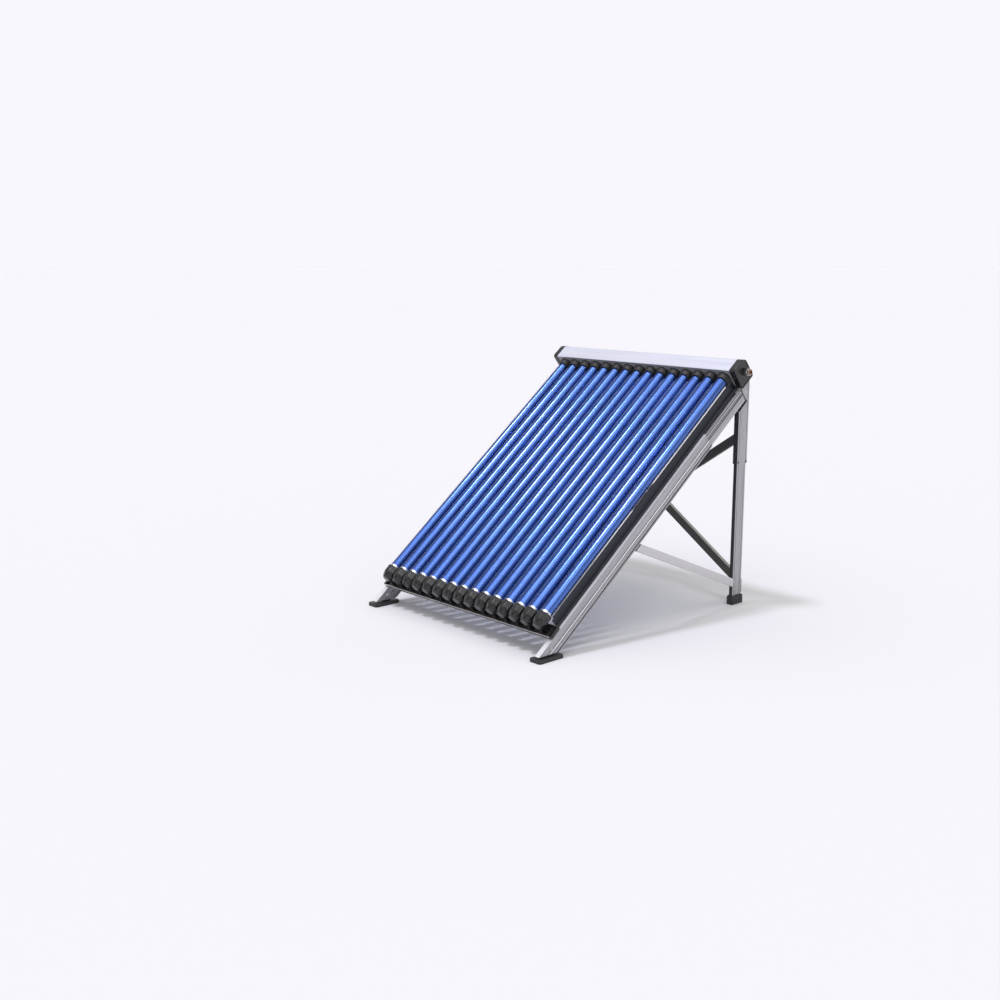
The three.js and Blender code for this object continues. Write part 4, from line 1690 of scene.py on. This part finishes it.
    def side_strut(self, side: Side) -> None:
        """Builds a strut: a flat bar with softened edges and the slider at its upper end.

        Args:
            side: Which side it belongs to.
        """
        tilt, place = self.shop.slope.tilt, self.shop.slope.upright()
        outline = self.strut_outline(tilt, self.strut_deep, -153 * MM)
        near = self.outer - self.strut_thick + 0.4 * MM
        shape = prism(outline, near, self.outer - 0.1 * MM, Run.ACROSS, side)
        edges = [edge for edge in shape.edges if abs(edge.verts[0].co.x - edge.verts[1].co.x) < 1e-6]
        bmesh.ops.bevel(shape, geom=edges, offset=1.2 * MM, segments=3, profile=0.5, affect="EDGES")
        nodes = [f"side_strut_{side.label}"]
        name = f"strut_bar_{side.label}"
        self.shop.lay(name, shape, place, "rear_base", "strut_aluminium", nodes=nodes, sharp=24)
        tip = self.strut_outline(tilt, self.slider_deep, -122 * MM)
        bar = self.strut_outline(tilt, self.slider_deep, -170 * MM)
        loop = [bar[3], bar[2], tip[2], tip[3]]
        slider = prism(loop, self.middle - self.slider_half, self.middle + self.slider_half, Run.ACROSS, side)
        self.shop.lay(f"strut_slider_{side.label}", slider, place, "rear_base", "nickel_fitting")

    def brace(self, label: str, middle: float, slope: float, front: float) -> None:
        """Builds a diagonal brace: a shallow channel with two flanges.

        Args:
            label: Which of the two, as the CAD node spells it.
            middle: Its height at x = 0.
            slope: Its rise over x.
            front: Where its front lies in y.
        """
        high = self.outer - self.wide - 0.7 * MM
        low = self.outer - self.wide + 3.2 * MM
        x0, x1 = (-low, high) if slope > 0 else (-high, low)
        rise, deep = 21 * MM / math.cos(math.atan(slope)), 18 * MM
        soft, wall = 1 * MM, 3 * MM
        section = [
            (soft, -rise), (0.0, soft - rise), (0.0, rise - soft), (soft, rise), (deep, rise),
            (deep, rise - wall), (wall, rise - wall), (wall, wall - rise), (deep, wall - rise), (deep, -rise),
        ]
        # The upper edge faces take a lighter finish: a painted highlight where the light catches the top.
        upper_edge = (2, 3)
        shape = prism([(front + y, up) for y, up in section], x0, x1, Run.ACROSS, shaded=upper_edge)
        for vert in shape.verts:
            vert.co.z += middle + slope * vert.co.x
        place = self.shop.slope.upright()
        self.shop.lay(f"brace_{label}", shape, place, "rear_base", "dark_brace", "lit_edge_highlight",
                 nodes=[f"cross_brace_{label}"])

    def build(self) -> None:
        """Builds the stand."""
        for side in Side:
            self.sleeve(side)
            self.lower_leg(side)
            self.rear_foot(side)
            self.front_foot(side)
            self.hinge_pin(side)
            self.side_strut(side)
        self.brace("front", 523 * MM, -0.664, 1450 * MM)
        self.brace("rear", 458 * MM, 0.656, 1474 * MM)


@dataclass
class Fasteners:
    """The small bolts on the rails and legs, repeated by the row tree."""

    shop: Workshop
    outer: float = 585 * MM
    reach: float = 2.6 * MM

    def row(
        self, name: str, body: str, finish: str, side: Side, first: Vector, count: int = 1
    ) -> None:
        """Sets a row of hexagonal heads on washers, 60 mm apart, on the outer face of one side.

        Args:
            name: The piece's name without its side.
            body: The body that carries it.
            finish: Their finish.
            side: Which side.
            first: The first head, in the row frame.
            count: How many.
        """
        washer = mm((0, -1), (5.6, -1), (5.6, 0.5), (5.2, 0.8), (4.4, 0.8))
        head = [(4.4 * MM, self.reach - 0.5 * MM), (3.7 * MM, self.reach), (0, self.reach)]
        shape = lathe([*washer, *head], 6)
        bmesh.ops.rotate(shape, verts=shape.verts, matrix=Matrix.Rotation(-math.pi / 2, 3, "Z"))
        bmesh.ops.scale(shape, vec=(side.value, 1, 1), verts=shape.verts)
        piece = settle(f"{name}_{side.label}", shape, Matrix.Identity(4), 20)
        self.shop.row.apply(piece, count, first, (0, 60 * MM, 0), self.shop.finishes.of(finish))
        self.shop.hand_over(piece, body, finish)

    def build(self) -> None:
        """Builds every bolt group."""
        upright, slope = self.shop.slope.upright(), self.shop.slope.matrix()
        for side in Side:
            low = upright @ Vector((side.value * self.outer, 1447 * MM, 703 * MM))
            self.row("sleeve_bolts", "upper_legs", "dark_brace", side, low, 2)
            foot = upright @ Vector((side.value * (self.outer - 3.6 * MM), 1450.5 * MM, 114 * MM))
            self.row("strut_bolt", "rear_base", "nickel_fitting", side, foot)
            clamp = slope @ Vector((side.value * (self.outer - 2.2 * MM), 829 * MM, -132.3 * MM))
            self.row("strut_clamp_bolt", "collector", "dark_brace", side, clamp)


# ---------------------------------------------------------------- studio


@dataclass
class Studio:
    """The pale floor, the daylight and the camera."""

    MIX_A = 6
    MIX_B = 7
    MIX_RESULT = 2

    pale: Triple = (0.939, 0.930, 0.982)
    horizon: float = 0.24
    bands: tuple[Pair, ...] = ((0.32, 0.56), (0.55, 0.48), (0.86, 0.85))
    sky_tone: Triple = (1.06, 1.06, 1.05)
    sun_from: Triple = (-0.19, -0.25, 1.0)
    sun_power: float = 1.22
    sun_width: float = 8
    sun_tone: Triple = (0.86, 0.82, 1.0)
    softbox: Triple = (0.397, -0.244, 0.885)
    softbox_level: float = 1.7
    softbox_edge: Pair = (19, 11)
    floor_tone: Triple = (0.80, 0.80, 0.80)
    floor_half: float = 150
    eye: Triple = (4.1262, -3.2754, 1.6783)
    yaw: float = 47.97
    pitch: float = -11.29
    roll: float = -0.03
    lens: float = 44.29

    def floor(self) -> None:
        """Lays the plain floor."""
        shape = bmesh.new()
        bmesh.ops.create_grid(shape, x_segments=2, y_segments=2, size=self.floor_half)
        piece = settle("studio_floor", shape, Matrix.Identity(4))
        bench = NodeBench("studio_floor")
        bench.put(Base_Color=(*self.floor_tone, 1), Roughness=1.0, Specular_IOR_Level=0.0)
        piece.data.materials.append(bench.material)

    def sun(self) -> None:
        """Sets the sun."""
        light = bpy.data.lights.new("key_sun", "SUN")
        light.energy = self.sun_power
        light.angle = math.radians(self.sun_width)
        light.color = self.sun_tone
        lamp = bpy.data.objects.new("key_sun", light)
        bpy.context.scene.collection.objects.link(lamp)
        lamp.rotation_euler = Vector(self.sun_from).to_track_quat("Z", "Y").to_euler()

    def sky(self) -> None:
        """Sets a sky that is pale near the horizon and dimmer overhead, with one soft bright patch."""
        world = bpy.data.worlds.new("studio_sky")
        world.use_nodes = True
        nodes, links = world.node_tree.nodes, world.node_tree.links
        place = nodes.new("ShaderNodeTexCoord")
        split = nodes.new("ShaderNodeSeparateXYZ")
        ramp = nodes.new("ShaderNodeValToRGB")
        ramp.color_ramp.elements[0].position = self.horizon
        ramp.color_ramp.elements[0].color = (*self.pale, 1)
        ramp.color_ramp.elements.remove(ramp.color_ramp.elements[1])
        for position, level in self.bands:
            ramp.color_ramp.elements.new(position).color = (*(level * tone for tone in self.sky_tone), 1)
        aim = nodes.new("ShaderNodeVectorMath")
        aim.operation = "DOT_PRODUCT"
        aim.inputs[1].default_value = self.softbox
        glow = nodes.new("ShaderNodeMapRange")
        glow.interpolation_type = "SMOOTHSTEP"
        edge = [math.cos(math.radians(angle)) for angle in self.softbox_edge]
        glow.inputs["From Min"].default_value, glow.inputs["From Max"].default_value = edge
        glow.inputs["To Max"].default_value = self.softbox_level
        total = nodes.new("ShaderNodeMix")
        total.data_type = "RGBA"
        total.blend_type = "ADD"
        total.inputs["Factor"].default_value = 1.0
        links.new(place.outputs["Generated"], split.inputs["Vector"])
        links.new(split.outputs["Z"], ramp.inputs["Fac"])
        links.new(place.outputs["Generated"], aim.inputs[0])
        links.new(aim.outputs["Value"], glow.inputs["Value"])
        links.new(ramp.outputs["Color"], total.inputs[self.MIX_A])
        links.new(glow.outputs["Result"], total.inputs[self.MIX_B])
        links.new(total.outputs[self.MIX_RESULT], nodes["Background"].inputs["Color"])
        bpy.context.scene.world = world

    def camera(self, slope: Slope) -> None:
        """Sets the camera.

        Args:
            slope: Where the foot of the slope lies.
        """
        lens = bpy.data.cameras.new("studio_camera")
        lens.lens = self.lens
        lens.sensor_width = 36
        lens.clip_end = 500
        view = bpy.data.objects.new("studio_camera", lens)
        bpy.context.scene.collection.objects.link(view)
        yaw, pitch = math.radians(self.yaw), math.radians(self.pitch)
        turn = Matrix.Rotation(yaw, 4, "Z") @ Matrix.Rotation(math.pi / 2 + pitch, 4, "X")
        turn = turn @ Matrix.Rotation(math.radians(self.roll), 4, "Z")
        view.matrix_world = slope.upright() @ Matrix.Translation(self.eye) @ turn
        bpy.context.scene.camera = view

    def build(self, slope: Slope) -> None:
        """Builds the studio.

        Args:
            slope: Where the foot of the slope lies.
        """
        bpy.context.scene.view_settings.view_transform = "Standard"
        self.camera(slope)
        self.floor()
        self.sun()
        self.sky()


def main() -> None:
    """Builds every sub-assembly in order and notes how many pieces were made."""
    logging.basicConfig(level=logging.INFO, format="%(message)s")
    slope = Slope()
    shop = Workshop(slope, Finishes(slope.tilt), RepeatTree("row_of_copies"))
    Studio().build(slope)
    for assembly in (TubeBank, CupRow, Header, Rails, Stand, Fasteners):
        assembly(shop).build()
    LOG.info("%d pieces made", shop.made)


if __name__ == "__main__":
    main()
